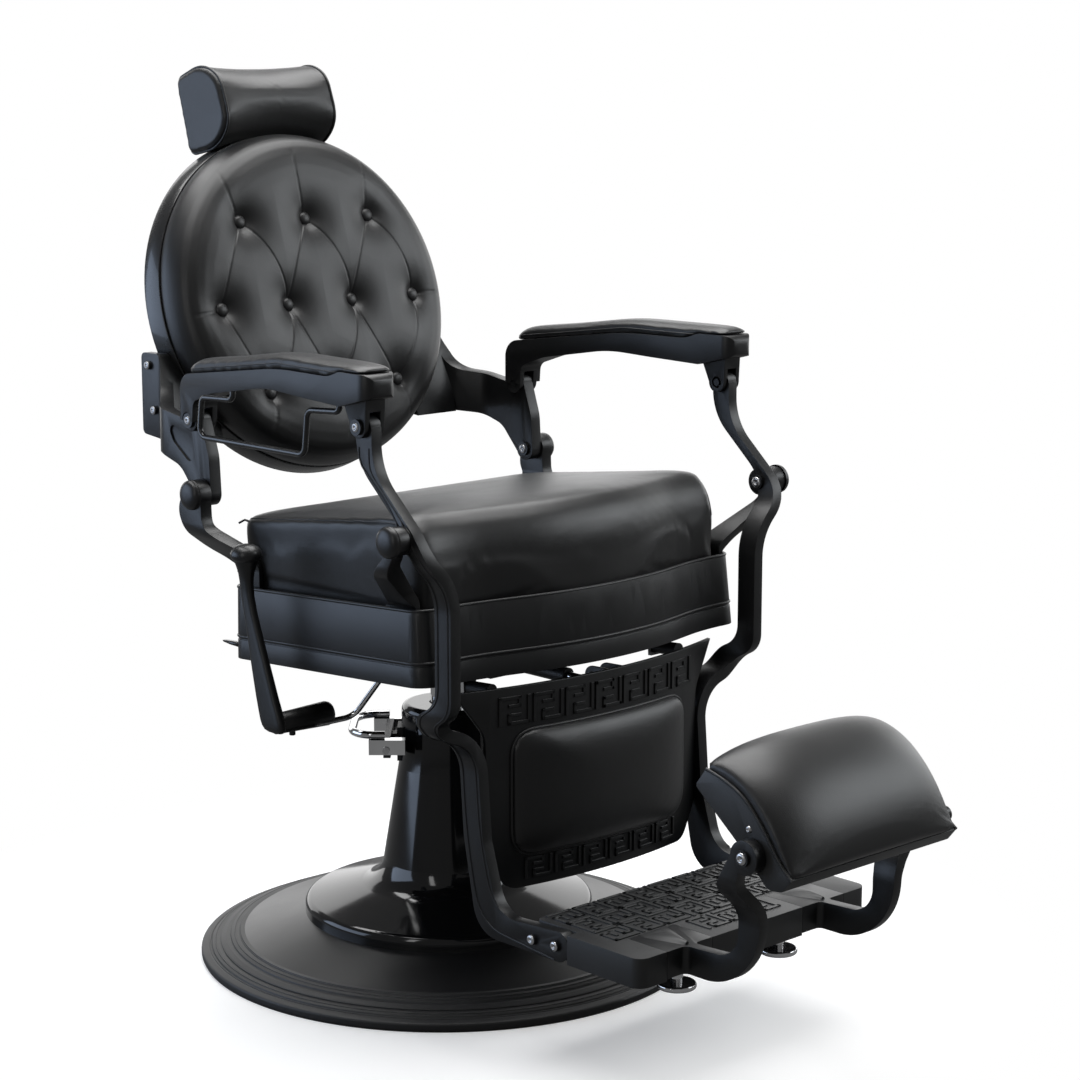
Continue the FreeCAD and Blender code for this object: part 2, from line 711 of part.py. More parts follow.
def make_brackets():
    """Make the four cast brackets that rise inside the band to the linkage pivots."""
    inner = s.bracket_inside
    outer = inner + s.bracket_thickness
    low = s.band_bottom + 32
    y, z = s.rear_pivot_y, s.rear_pivot_z
    side = pad("rear_side", "YZ", 200, 400, [
        (60, low), (99, low), (99, z - 112), (108, z - 104), (108, z - 95, 8),
        (y + 4, z - 78, 40), (y + 34, z - 22, 26),
        (y + 14, z + 12), (y - 18, z + 4), (y - 20, z - 42, 26), (y - 74, z - 68, 14),
        (60, z - 92, 12)])
    face = s.post_inside + s.post_thickness + s.link_gap
    front = pad("rear_front", "XZ", 0, 200, [
        (inner, low), (outer, low), (outer, z - 88, 25), (face + s.boss_thickness, z - 50, 25),
        (face + s.boss_thickness, z + 40), (face, z + 40), (face, z - 40, 12),
        (inner, z - 76, 20)])
    boss = rod(s.boss_radius + 2, face, face + s.boss_thickness, y=y, z=z)
    bore = rod(s.pivot_pin + s.slide_fit, 250, 400, y=y, z=z)
    pair("rear_bracket", cut(fuse(common(side, front), boss), bore))
    y, z = s.front_pivot_y, s.front_pivot_z
    side = pad("front_side", "YZ", 200, 400, [
        (y + 34, low), (y + 104, low), (y + 104, z - 113, 30), (y + 16, z - 23), (y - 2, z - 6),
        (y - 4, z - 20), (y + 34, z - 84, 40)])
    face = s.frame_outside + 2 + s.link_gap
    front = pad("front_front", "XZ", -400, -100, [
        (inner, low), (outer, low), (outer, z - 98, 8), (face + s.boss_thickness, z - 43, 25),
        (face + s.boss_thickness, z + 40), (face, z + 40), (face, z - 31, 12),
        (inner, z - 88, 20)])
    boss = rod(s.boss_radius, face, face + s.boss_thickness, y=y, z=z)
    bore = rod(s.pivot_pin + s.slide_fit, 250, 400, y=y, z=z)
    pair("front_bracket", cut(fuse(common(side, front), boss), bore))


def bolt(head_low, head_high, shaft_low, shaft_high, y, z):
    """Make a pivot bolt along X: a shaft with one round head."""
    return fuse(rod(s.pivot_pin, shaft_low, shaft_high, y=y, z=z),
                rod(s.pin_head, head_low, head_high, y=y, z=z))


def make_pivots():
    """Make the bolts and domed caps of the four pivots on each side."""
    rear = (s.rear_pivot_y, s.rear_pivot_z)
    front = (s.front_pivot_y, s.front_pivot_z)
    inside = s.post_inside
    rear_face = inside + s.post_thickness + s.link_gap + s.boss_thickness
    frame_inside = s.frame_outside - s.frame_thickness
    front_face = s.frame_outside + 2 + s.link_gap + s.boss_thickness
    both("pivot_bolts", group(
        bolt(inside - 4.3, inside - 0.3, inside - 2, rear_face, *rear),
        bolt(frame_inside - 4.3, frame_inside - 0.3, frame_inside - 2, front_face, *front)))
    both("pivot_caps", group(dome(s.cap_radius, s.cap_height, rear_face, *rear),
                             dome(s.cap_radius, s.cap_height, front_face, *front)))
    ear = s.ear_thickness + s.link_gap
    outside = inside + s.post_thickness + ear
    both("arm_rear_bolts", bolt(outside, outside + 4, inside - ear, outside + 2,
                                s.rear_clevis_y, s.rear_clevis_z))
    outside = s.frame_outside + ear + 0.4
    both("arm_front_bolts", bolt(outside, outside + 4, frame_inside - ear, outside + 2,
                                 s.front_clevis_y, s.front_clevis_z))


# Side frames, leg panel and foot plate

def make_side_frames():
    """Make the cast side frames, stepped inwards twice on the way down to the foot plate."""
    top_x, waist, foot = s.frame_outside, s.frame_waist, s.frame_foot
    thick = s.frame_thickness
    top = s.front_clevis_z + 30

    def edge(inset):
        """Give one edge of the stepped strip in the front view."""
        upper = jog_corners(inset, 72, top_x, waist, s.upper_jog, s.upper_slant)
        lower = jog_corners(inset, 49, waist, foot, s.lower_jog, s.lower_slant)
        return [(top_x - inset, top), *upper, *lower, (foot - inset, 100)]

    front = pad("frame_front", "XZ", -500, -150, edge(size(0)) + edge(thick)[::-1])
    knee, shin = s.knee_y, s.shin_y
    arm = s.front_clevis_y - 17
    depth, low_depth = s.frame_depth, s.frame_low_depth
    low, strap = s.foot_bottom, s.foot_strap
    z = s.front_pivot_z
    side = pad("frame_side", "YZ", 150, 400, [
        (arm, s.front_clevis_z), (arm, z + 78, 75), (knee, z - 6, 75), (knee, 441, 33),
        (shin, 421, 33), (shin - 13, 262, 60), (knee - 2, low + strap - 6, 42),
        (s.foot_end, low + strap + 2, 17), (s.foot_end, low, 17), (shin - 2, low, 44),
        (shin + low_depth - 13, 262, 90), (shin + low_depth, 429, 33),
        (knee + depth, 452, 33), (knee + depth, z + 4, 75), (arm + depth, z + 88, 75),
        (arm + depth, s.front_clevis_z)])
    strip = common(front, side)
    inside = top_x - thick
    knuckle = rod(16, inside, top_x, y=s.front_clevis_y, z=s.front_clevis_z)
    boss = rod(s.boss_radius, inside, top_x + 2, y=s.front_pivot_y, z=z)
    holes = [rod(s.pivot_pin + s.slide_fit, 250, 400, y=s.front_clevis_y, z=s.front_clevis_z),
             rod(s.pivot_pin + s.slide_fit, 250, 400, y=s.front_pivot_y, z=z)]
    holes.append(rod(s.pin_head + 1, inside - 20, inside, y=s.front_pivot_y, z=z))
    for y, height in foot_bolt_places():
        holes.append(rod(4 + s.slide_fit, 150, 250, y=y, z=height))
    pair("side_frame", cut(fuse(strip, knuckle, boss), *holes))


def foot_bolt_places():
    """Give the two bolts that hold the foot plate in each side frame."""
    middle = s.foot_bottom + s.foot_strap / 2
    return [(s.foot_end + 63, middle - 1), (s.foot_end + 21, middle + 1)]


def make_leg_panel():
    """Make the bowed panel between the side frames, and its leather pad."""
    reach = s.frame_foot - s.frame_thickness
    top, low = s.panel_top, s.panel_bottom
    outline = [(s.panel_flare, top), (-s.panel_flare, top), (-reach, top - 60, 40),
               (-reach, low + 50, 40), (-reach + 32, low, 26), (reach - 32, low, 26),
               (reach, low + 50, 40), (reach, top - 60, 40)]
    face = pad("panel_outline", "XZ", -400, -200, outline)
    bow = cut(panel_bow("panel_outer", 0), panel_bow("panel_inner", s.panel_thickness))
    y, z = s.strut_pin_y, s.strut_z
    reach = s.strut_radius + s.link_gap
    ears = [pad("strut_ear", "YZ", start, start + 4, [
        (y + 15, z - 18, 14), (y + 15, z + 26, 14), (s.panel_front + 5, z + 30),
        (s.panel_front + 5, z - 24)], strut_slot())
            for start in (s.strut_x - reach - 4, s.strut_x + reach)]
    node("leg_panel", fuse(common(face, bow), *ears))
    pad_form = free_form("leg_pad_form", leg_pad_shape())
    node("leg_pad", cut(pad_form, panel_bow("pad_back", 0)))


def strut_slot():
    """Give the slot in the panel's ears: it points at the front pivot, and the pin slides in it."""
    across, down = s.strut_pin_y - s.front_pivot_y, s.front_pivot_z - s.strut_z
    reach = root(across * across + down * down)
    side, fall = across / reach, down / reach
    half = s.pivot_pin + s.slot_play
    corners = []
    for along, sideways in ((half, half), (half, -half), (-half - 9, -half), (-half - 9, half)):
        corners.append((s.strut_pin_y + side * along + fall * sideways,
                        s.strut_z - fall * along + side * sideways, half - 0.2))
    return corners


def panel_bow(name, inset):
    """Make the upright round block whose front is the bowed face of the panel."""
    block = rod(s.panel_radius - inset, 150, 500, y=s.panel_front + s.panel_radius, along="z")
    block.Label = name
    return block


def leg_pad_shape():
    """Loft the panel's pad: a rounded rectangle that swells and then draws in to its crown."""
    half, corner = s.leg_pad_half.number, s.leg_pad_corner.number
    low, high = s.leg_pad_bottom.number, s.leg_pad_top.number
    face = s.panel_front.number
    front = face - s.leg_pad_thickness.number
    rows = [(face + 33, 0), (face, 0), (front + 10, 3), (front + 3, 9), (front, 20)]
    sections = []
    for y, inset in rows:
        side, bottom, top = half - inset, low + inset, high - inset
        bend = corner - inset * 0.4
        upright = Placement(Vector(0, y, 0), Rotation(Vector(1, 0, 0), 90))
        sections.append(wire([(side, top, bend), (-side, top, bend), (-side, bottom, bend),
                              (side, bottom, bend)], upright))
    return Part.makeLoft(sections, True, False)


def make_foot_plate():
    """Make the ribbed foot plate between the frames, with the slots for the rest arms."""
    inside = s.frame_foot - s.frame_thickness
    half, front, rear = s.plate_half, s.plate_front, s.plate_rear
    notch = s.foot_end - s.link_gap
    inner, outer = s.root_inner, s.root_outer
    slot = s.root_rear
    outline = [(inside, rear, 6), (inside, notch), (half, notch), (half, front, 16),
               (outer, front), (outer, slot), (inner, slot), (inner, front),
               (-inner, front), (-inner, slot), (-outer, slot), (-outer, front),
               (-half, front, 16), (-half, notch), (-inside, notch), (-inside, rear, 6)]
    low, high = s.foot_plate_bottom, s.foot_plate_top
    wall = s.foot_plate_wall
    plate = pad("foot_block", "XY", low, high, outline)
    pockets = [box(-inner + wall, inner - wall, front + wall, slot - wall, low - 1, high - wall)]
    for start, end in ((-inside + wall, -inner - wall), (-inner + wall, inner - wall),
                       (inner + wall, inside - wall)):
        pockets.append(box(start, end, slot + wall, rear - wall, low - 1, high - wall))
    for start, end in ((outer + wall, half - wall), (wall - half, -outer - wall)):
        pockets.append(box(start, end, front + wall, slot - wall, low - 1, high - wall))
    holes = [rod(4 + s.slide_fit, -250, 250, y=y, z=z) for y, z in foot_bolt_places()]
    node("foot_plate", cut(plate, *pockets, *holes))
    bolts = []
    for y, z in foot_bolt_places():
        bolts.append(fuse(rod(4, inside - wall - 4, s.frame_foot, y=y, z=z),
                          rod(7, s.frame_foot, s.frame_foot + 4, y=y, z=z)))
    both("foot_plate_bolts", group(*bolts))


def make_rest_arms():
    """Make the swan-neck arms that rise from the foot plate to the leg rest pivot."""
    y, z = s.rest_pivot_y, s.rest_pivot_z
    low, high = s.foot_plate_bottom, s.foot_plate_top
    front = s.plate_front
    side = pad("neck_side", "YZ", 50, 250, [
        (front + 1, low + 3), (y + 7, low + 3, 88), (y + 7, z - 79, 28), (y + 14, z - 43, 30),
        (y + 5, z - 12), (y, z), (y + 20, z + 2), (y + 47, z - 46, 26), (y + 41, z - 88, 28),
        (y + 41, high + 4, 34), (front + 1, high)])
    upper, lower = s.rest_arm, s.rest_arm_low
    thick = s.rest_arm_width

    def edge(inset):
        """Give one edge of the stepped arm in the front view."""
        return [(upper - inset, z + 40), *jog_corners(inset, 40, upper, lower, z - 63, 45),
                (lower - inset, low - 20)]

    face = pad("neck_front", "XZ", -800, -560, edge(size(0)) + edge(thick)[::-1])
    boss = rod(s.rest_boss, upper - thick, upper, y=y, z=z)
    inner, outer = s.root_inner + 0.5, s.root_outer - 0.5
    root = pad("neck_root", "XY", low + 3, high, [
        (inner, s.root_rear - 0.5), (inner, front), (lower - thick, front, 8),
        (lower - thick, front - 24), (lower, front - 24), (lower, front, 8), (outer, front),
        (outer, s.root_rear - 0.5)])
    hole = rod(s.pivot_pin + s.slide_fit, 100, 200, y=y, z=z)
    pair("rest_arm", cut(fuse(common(side, face), boss, root), hole))
    stem = rod(8, s.foot_pad_bottom + 6, low + 3, x=s.foot_pad_x, y=s.foot_pad_y, along="z")
    disc = turn("foot_disc", [(0, 0), (s.foot_pad_radius, 0, 3), (s.foot_pad_radius, 8, 3),
                              (0, 8)])
    place(disc, s.foot_pad_x, s.foot_pad_y, s.foot_pad_bottom)
    both("foot_pads", fuse(disc, stem))


def rest_place(*corners):
    """Move corners given from the leg rest pivot to their place in the side view."""
    return [(s.rest_pivot_y + corner[0], s.rest_pivot_z + corner[1], *corner[2:])
            for corner in corners]


REST_SEAM = [(-46, -10, 14), (-8, 45, 60), (35, 80, 60)]


def make_leg_rest():
    """Make the tilting leg rest: a pan between the arms, and a leather pad."""
    half, wall = s.rest_half, s.rest_wall
    shell = pad("rest_shell", "YZ", -half, half, rest_place(
        (77, 89), (94, 66, 5), (24, 9, 40), (-24, -37, 16), (-46, -35, 8), (-60, -18),
        *REST_SEAM))
    hollow = pad("rest_hollow", "YZ", -half + wall, half - wall, rest_place(
        (78, 84), (87, 65, 3), (22, 13, 40), (-25, -32, 13), (-44, -31, 5), (-54, -18),
        (-60, 4), (-14, 60), (30, 98)))
    y, z = s.rest_pivot_y, s.rest_pivot_z
    hubs = [rod(9.5, -half, -half + 14, y=y, z=z), rod(9.5, half - 14, half, y=y, z=z)]
    bore = rod(s.pivot_pin + s.slide_fit, -half - 1, half + 1, y=y, z=z)
    node("leg_rest_pan", cut(fuse(cut(shell, hollow), *hubs), bore))
    node("leg_rest_pad", free_form("leg_rest_pad", rest_pad_shape()))
    left = fuse(rod(s.pivot_pin, half - 10, s.rest_arm + 2, y=y, z=z),
                rod(s.pin_head, s.rest_arm + 0.3, s.rest_arm + 4, y=y, z=z))
    both("leg_rest_bolts", left)
    y, z = s.rest_pivot_y - 30, s.rest_pivot_z - 8
    node("leg_rest_knob", fuse(rod(4, half, half + 8, y=y, z=z),
                               rod(10, half + 6, half + 16, y=y, z=z)))


def rest_pad_shape():
    """Loft the leg rest's pad across the chair: a crown that draws in at both ends."""
    half = s.rest_half.number
    rounded = [(half, 16), (half - 4, 9), (half - 12, 3), (half - 28, 0.6), (half - 60, 0)]
    rows = [(-x, shrink) for x, shrink in rounded] + [(0, 0)] + rounded[::-1]
    sections = []
    for x, shrink in rows:
        profile = rest_place(
            (77, 89), *reversed(REST_SEAM), (-60, -18), (-66 + shrink * 0.2, -8, 5),
            (-58 + shrink * 0.6, 28 - shrink * 0.5, 30),
            (shrink * 0.3, 102 - shrink, 45), (66, 112 - shrink * 0.9, 16), (82, 96, 3))
        across = Placement(Vector(x, 0, 0), Rotation(Vector(1, 1, 1), 120))
        sections.append(wire(profile, across))
    return Part.makeLoft(sections, True, False)


# Back, headrest and arm rests

def back_place(thing):
    """Move a piece drawn flat, with its front up, onto the leaning back."""
    return place(thing, y=s.back_y, z=s.back_z, axis=(1, 0, 0), angle=90 - s.back_tilt)


def make_back():
    """Make the round metal shell, its rear cover, the tufted cushion and the buttons."""
    rim, draft, wall = s.back_radius, s.shell_draft, s.shell_wall
    depth = s.shell_depth
    shell = turn("shell", [
        (0, 0), (rim, 0), (rim - draft, depth), (rim - draft - wall, depth),
        (rim - wall - 0.5, wall), (0, wall)])
    node("back_shell", back_place(group(shell)))
    cover = turn("rear_cover", [
        (0, -s.cover_depth), (s.cover_radius - 40, -s.cover_depth, 120),
        (s.cover_radius, -4, 3), (s.cover_radius, 0), (0, 0)])
    node("back_cover", back_place(group(cover)))
    inside = rim - draft - wall - 0.5
    bulge = turn("pad_dome", [
        (0, wall), (inside, wall), (inside, depth - 2, 4), (s.pad_radius - 4, depth + 4, 4),
        (s.pad_radius, (depth + s.pad_depth) / 2, 20), (s.pad_radius - 4, s.pad_depth, 24),
        (0, s.pad_depth + s.pad_crown)])
    tufts, buttons = [], []
    low = s.pad_depth - s.tuft_depth
    for x, y in button_places():
        cone = doc.addObject("Part::Cone", "tuft")
        bind(cone, Radius1=s.button_radius + 1, Radius2=s.tuft_radius, Height=s.tuft_depth + 6)
        tufts.append(place(cone, x, y, low))
        button = turn("button", [(0, 0), (s.button_radius, 0), (s.button_radius, 3),
                                 (s.button_radius - 2, 7, 5), (0, 8)])
        buttons.append(place(button, x, y, low))
    node("back_cushion", back_place(group(cut(bulge, fuse(*tufts)))))
    node("back_buttons", back_place(group(*buttons)))


def button_places():
    """Give the buttons' places on the back: rows of three, four and three."""
    places = []
    for row, count in ((1, 3), (0, 4), (-1, 3)):
        for index in range(count):
            across = (index - (count - 1) / 2) * s.button_pitch
            places.append((across, row * s.button_row - s.button_drop))
    return places


def make_back_arms():
    """Make the cast arms that carry the back: a post with both pivots, and a gusset."""
    inner, thick = s.post_inside, s.post_thickness
    outer = inner + thick
    y, z = s.rear_pivot_y, s.rear_pivot_z
    top_y, top_z = s.rear_clevis_y, s.rear_clevis_z
    side_outline = [
        (y - 17, z), (y + 10, z - 12), (y + 50, z + 32, 40), (y + 95, z + 45, 60),
        (352, z + 56, 8), (352, z + 170, 8), (312, z + 170, 8), (y + 132, z + 112, 40),
        (top_y + 14, top_z - 2), (top_y - 14, top_z), (y - 14, z + 50, 60)]
    side = pad("arm_side", "YZ", 180, 400, side_outline)
    plan = pad("arm_plan", "XY", 600, 900, [
        (inner, 90), (outer, 90), (outer, 244, 40), (256, 306, 30), (256, 352), (240, 352),
        (240, 300, 30), (inner, 234, 30)])
    foot = common(pad("foot_side", "YZ", 180, 256, side_outline),
                  back_place(group(box(-300, 300, -300, 300, -s.cover_depth, 30))))
    core = fuse(rod(s.back_radius, -20, 0, along="z"), rim_cone(), rod(
        s.back_radius - s.shell_draft, s.shell_depth, 60, along="z"))
    recess = pad("arm_recess", "YZ", outer - 3, outer + 20, [
        (y + 18, z + 30, 10), (y + 66, z + 64, 20), (y + 80, z + 90, 8),
        (top_y + 6, top_z - 22, 10)])
    low_boss = rod(s.boss_radius - 1, inner, outer, y=y, z=z)
    top_boss = rod(14, inner, outer, y=top_y, z=top_z)
    holes = [rod(s.pivot_pin + s.slide_fit, 250, 400, y=y, z=z),
             rod(s.pivot_pin + s.slide_fit, 250, 400, y=top_y, z=top_z)]
    body = fuse(common(side, plan), low_boss, top_boss, foot)
    pair("back_arm", cut(body, recess, back_place(group(core)), *holes))
    left = group(rod(6, 256, 260, y=334, z=820), rod(6, 256, 260, y=322, z=758))
    both("back_bolts", left)


def rim_cone():
    """Make a block with the same slope as the shell's rim."""
    cone = doc.addObject("Part::Cone", "rim_cone")
    return bind(cone, Radius1=s.back_radius, Radius2=s.back_radius - s.shell_draft,
                Height=s.shell_depth)


def make_headrest():
    """Make the headrest, its plate with two posts, and the socket behind the back."""
    node("headrest_pad", back_place(free_form("headrest_pad", headrest_shape())))
    low = s.headrest_up - s.headrest_height / 2
    middle = -s.cover_depth - 9
    fit = s.post_radius + s.slide_fit
    sides = (-s.post_place, s.post_place)
    plate = box(-70, 70, low + 60, low + 92, middle - 4, s.headrest_back)
    posts = [rod(s.post_radius, low - 190, low + 92, x=x, z=middle, along="y") for x in sides]
    node("headrest_posts", back_place(group(fuse(plate, *posts))))
    block = box(-66, 66, low - 70, low - 20, middle - 12, -s.cover_depth)
    holes = [rod(fit, low - 80, low, x=x, z=middle, along="y") for x in sides]
    node("headrest_socket", back_place(group(cut(block, *holes))))
    rear = middle - 12
    knob = turn("socket_knob", [(0, rear - 26), (16, rear - 26, 4), (16, rear - 12, 4),
                                (5, rear - 10), (5, rear), (0, rear)])
    place(knob, y=low - 45)
    node("headrest_knob", back_place(group(knob)))


def headrest_shape():
    """Loft the headrest across the chair: a D-shaped roll, drawn in at its waist."""
    half, up = s.headrest_half.number, s.headrest_up.number
    height, depth = s.headrest_height.number, s.headrest_depth.number
    back = s.headrest_back.number
    sections = []
    for share in (-1, -0.94, -0.5, 0, 0.5, 0.94, 1):
        bow = 1 - share * share
        inset = 7 if abs(share) == 1 else 0
        low = up - height / 2 + s.headrest_waist.number * bow + inset
        high = up + height / 2 - s.headrest_saddle.number * bow - inset
        front = depth - inset - 4 * bow
        profile = [(low + 4, back, 5), (low, front * 0.45, 26), (low + 26, front, 30),
                   (high - 24, front - 6, 28), (high, front * 0.4, 26), (high - 5, back, 5)]
        across = Placement(Vector(share * half, 0, 0), Rotation(Vector(1, 1, 1), 120))
        sections.append(wire(profile, across))
    return Part.makeLoft(sections, True, False)


def arm_top():
    """Give the upper side of the arm rest's rail, from its rear to its raised tip."""
    return [(s.arm_rear, 826, 26), (-60, 857, 600), (-172, 857, 60), (-196, 865, 20),
            (s.arm_tip, 865, 14)]


def arm_under():
    """Give the under side of the arm rest's rail, from its tip to its rear end."""
    front = s.front_clevis_y
    return [(front - 16, 832), (front + 24, 822, 14), (-30, 829, 300), (100, 808, 60),
            (s.rear_clevis_y - 17, 792, 14)]


def make_arm_rests():
    """Make the arm rests: cast rails with a fork at each end, and leather pads."""
    rear_y, rear_z = s.rear_clevis_y, s.rear_clevis_z
    front_y, front_z = s.front_clevis_y, s.front_clevis_z
    side = pad("rail_side", "YZ", 240, 400, [
        *arm_top(), (s.arm_tip, 836, 10), *arm_under(), (rear_y - 15, rear_z),
        (s.arm_rear, rear_z)])
    plan = pad("rail_plan", "XY", 700, 900, arm_outline(s.arm_rear + 1, s.arm_tip))
    inner, outer = s.post_inside, s.post_inside + s.post_thickness
    gap, ear = s.link_gap, s.ear_thickness
    rear_ears = rod(15, inner - gap - ear, outer + gap + ear, y=rear_y, z=rear_z)
    frame_in, frame_out = s.frame_outside - s.frame_thickness, s.frame_outside
    front_low, front_high = frame_in - gap - ear, frame_out + gap + ear
    lugs = pad("lug_side", "YZ", front_low, front_high, [
        (front_y - 14, front_z), (front_y + 14, front_z), (front_y + 30, 832),
        (front_y - 16, 834)])
    front_ears = rod(14, front_low, front_high, y=front_y, z=front_z)
    rear_slot = box(inner - gap, outer + gap, rear_y - 40, rear_y + 60, rear_z - 40,
                    rear_z + 14 + s.clevis_play)
    front_slot = box(frame_in - gap, frame_out + gap, front_y - 60, front_y + 60,
                     front_z - 40, front_z + 16 + s.clevis_play)
    holes = [rod(s.pivot_pin + s.slide_fit, 250, 400, y=rear_y, z=rear_z),
             rod(s.pivot_pin + s.clevis_play, 250, 400, y=front_y, z=front_z),
             rod(s.pin_head + 1, outer + gap + ear, 400, y=rear_y, z=rear_z)]
    body = fuse(common(side, plan), rear_ears, lugs, front_ears)
    pair("arm_rest", cut(body, rear_slot, front_slot, *holes))
    cushion = free_form("arm_pad_form", arm_pad_shape())
    under = pad("pad_under", "YZ", 240, 400, [*arm_top(), (s.arm_tip, 780), (s.arm_rear, 780)])
    pair("arm_pad", cut(cushion, under))
    level = 835
    bar = bent_tube("towel_form", s.towel_bar, [
        (-330, 43, level), (-330, 43, 806), (-330, 110, 803), (-330, 117, 750),
        (-330, -105, 750), (-330, -112, 808), (-330, -176, 812), (-330, -176, level)],
        [8, 10, 12, 12, 12, 8])
    over = pad("rail_over", "YZ", -400, -250, [
        (-210, 900), *arm_under(), (s.rear_clevis_y - 15, 900)])
    node("towel_bar", cut(bar, over))


def arm_middle(y):
    """Give the middle of the arm rest, which splays outwards towards the front."""
    return 298 - (y - 148) * tan(s.arm_skew)


def arm_outline(rear, tip):
    """Give the arm rest's plan: narrow at the rear, wide towards the front."""
    narrow, wide = s.arm_narrow, s.arm_wide
    broad = -110
    return [(arm_middle(rear) + narrow, rear), (arm_middle(broad) + wide, broad, 300),
            (arm_middle(tip) + wide - 2, tip, 20), (arm_middle(tip) - wide + 4, tip, 20),
            (arm_middle(broad) - wide, broad, 300), (arm_middle(rear) - narrow, rear)]


def arm_pad_shape():
    """Loft the arm rest's pad along it: a crowned section that widens towards the front."""
    thick = s.arm_pad_thickness.number
    rows = [(158, 829, 16, 0.45), (154, 829, 18, 0.7), (146, 830, 19.5, 0.9), (120, 834, 21, 1),
            (60, 841, 23.4, 1), (0, 849, 25.4, 1), (-60, 856, 26.8, 1), (-120, 857, 27.5, 1),
            (-180, 857, 27.6, 1), (-215, 857, 27.5, 0.98), (-232, 857, 26.8, 0.9),
            (-240, 857, 25, 0.74), (-243, 857, 23, 0.55)]
    sections = []
    for y, height, half, share in rows:
        middle = float(arm_middle(y))
        top = thick * share
        profile = [(middle - half, height - 12), (middle + half, height - 12),
                   (middle + half, height + top - 5, 4), (middle + half * 0.5, height + top, 14),
                   (middle - half * 0.5, height + top, 14), (middle - half, height + top - 5, 4)]
        upright = Placement(Vector(0, y, 0), Rotation(Vector(1, 0, 0), 90))
        sections.append(wire(profile, upright))
    return Part.makeLoft(sections, True, False)


# Recline lever and lock

def make_recline_lever():
    """Make the recline lever on the sitter's right, and the rod that it turns."""
    x, thick = s.lever_x, s.lever_plate
    neck = s.knob_z - 15
    plate = pad("handle_plate", "YZ", x, x + thick, [
        (s.knob_y - 13, neck), (-17, 493, 200), (-56, 400, 30), (-46, 378, 10), (-24, 376, 8),
        (-6, 405, 30), (17, 493, 200), (s.knob_y + 11, neck)])
    radius, reach = s.lever_foot_radius, s.lever_foot_length
    foot = turn("handle_foot", [(0, 0), (radius - 3, 0), (radius, reach, 5), (0, reach)])
    place(foot, x + 5, s.lever_foot_y, s.lever_foot_z, (0, 1, 0), 90)
    y, z = s.rod_foot_y, s.rod_foot_z
    bore = rod(s.rod_radius + s.slide_fit, x + reach - 30, x + reach + 10, y=y, z=z)
    node("recline_handle", cut(fuse(plate, foot), bore))
    radius = s.knob_radius
    knob = turn("handle_knob", [(0, -16), (radius - 9, -16, 6), (radius, 0, 14),
                                (radius - 9, 16, 6), (0, 16)])
    place(knob, x + thick / 2, s.knob_y, s.knob_z, (0, 1, 0), 90)
    socket = box(x, x + thick, s.knob_y - 18, s.knob_y + 18, neck - 40, neck)
    node("recline_knob", cut(knob, socket))
    rise, run = s.lever_axis_z - z, y - s.lever_axis_y
    reach = math.hypot(rise.number, run.number)
    bend = s.rod_bend_x
    turned = bent_tube("release_rod", s.rod_radius, [
        (x + 66, 0, 0), (bend, 0, 0), (bend + 4, reach, 0), (84, reach, 0)], [16, 16])
    lean = 180 - math.degrees(math.atan2(rise.number, run.number))
    node("release_rod", place(turned, 0, y, z, (1, 0, 0), lean))


def make_lock():
    """Make the lock under the seat: a fixed cylinder, and a rod that the leg panel draws out."""
    x, z = s.strut_x, s.strut_z
    rear = s.strut_rear
    tube = rod(s.strut_radius, rear - s.strut_length, rear, x=x, z=z, along="y")
    bore = rod(s.strut_rod + s.slide_fit, rear - s.strut_length - 1, rear - 20, x=x, z=z,
               along="y")
    node("lock_cylinder", cut(tube, bore))
    pin_y = s.strut_pin_y
    reach = s.strut_radius + s.link_gap + 6
    eye = s.strut_radius - 2
    stem = rod(s.strut_rod, pin_y, rear - 25, x=x, z=z, along="y")
    node("lock_rod", fuse(stem, rod(9, x - eye, x + eye, y=pin_y, z=z),
                          rod(s.pivot_pin, x - reach, x + reach, y=pin_y, z=z)))


def write_parts():
    """Check every object, then write each sub-part to its own file."""
    doc.recompute()
    for thing in doc.Objects:
        if "Invalid" in thing.State or "Error" in thing.State:
            raise RuntimeError(f"{thing.Label} did not build: {thing.State}")
    for thing in nodes:
        if thing.Shape.isNull() or not thing.Shape.isValid() or not thing.Shape.Solids:
            raise RuntimeError(f"{thing.Label} has no valid solid")
    os.makedirs("parts", exist_ok=True)
    for thing in nodes:
        thing.Shape.exportStep(f"parts/{thing.Label}.step")
    print(f"{len(nodes)} sub-parts written")


write_sheet()
make_base()
make_pump_lever()
make_lift()
make_seat()
make_brackets()
make_pivots()
make_side_frames()
make_leg_panel()
make_foot_plate()
make_rest_arms()
make_leg_rest()
make_back()
make_back_arms()
make_headrest()
make_arm_rests()
make_recline_lever()
make_lock()
write_parts()
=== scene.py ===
"""Looks of the hydraulic barber chair: soft leather pieces, seams, relief, finishes and light.

The chair stands on the floor with the middle of its base at the origin. X points to the
sitter's left, the front of the chair is towards -Y, and Z points up. Sizes are millimetres
in the classes and metres in the meshes.
"""

import json
import logging
import math
from contextlib import contextmanager
from dataclasses import dataclass
from enum import Enum
from typing import Callable, Iterable, Iterator, Sequence

import bmesh
import bpy
import numpy as np
from mathutils import Matrix, Vector, noise
from mathutils.bvhtree import BVHTree

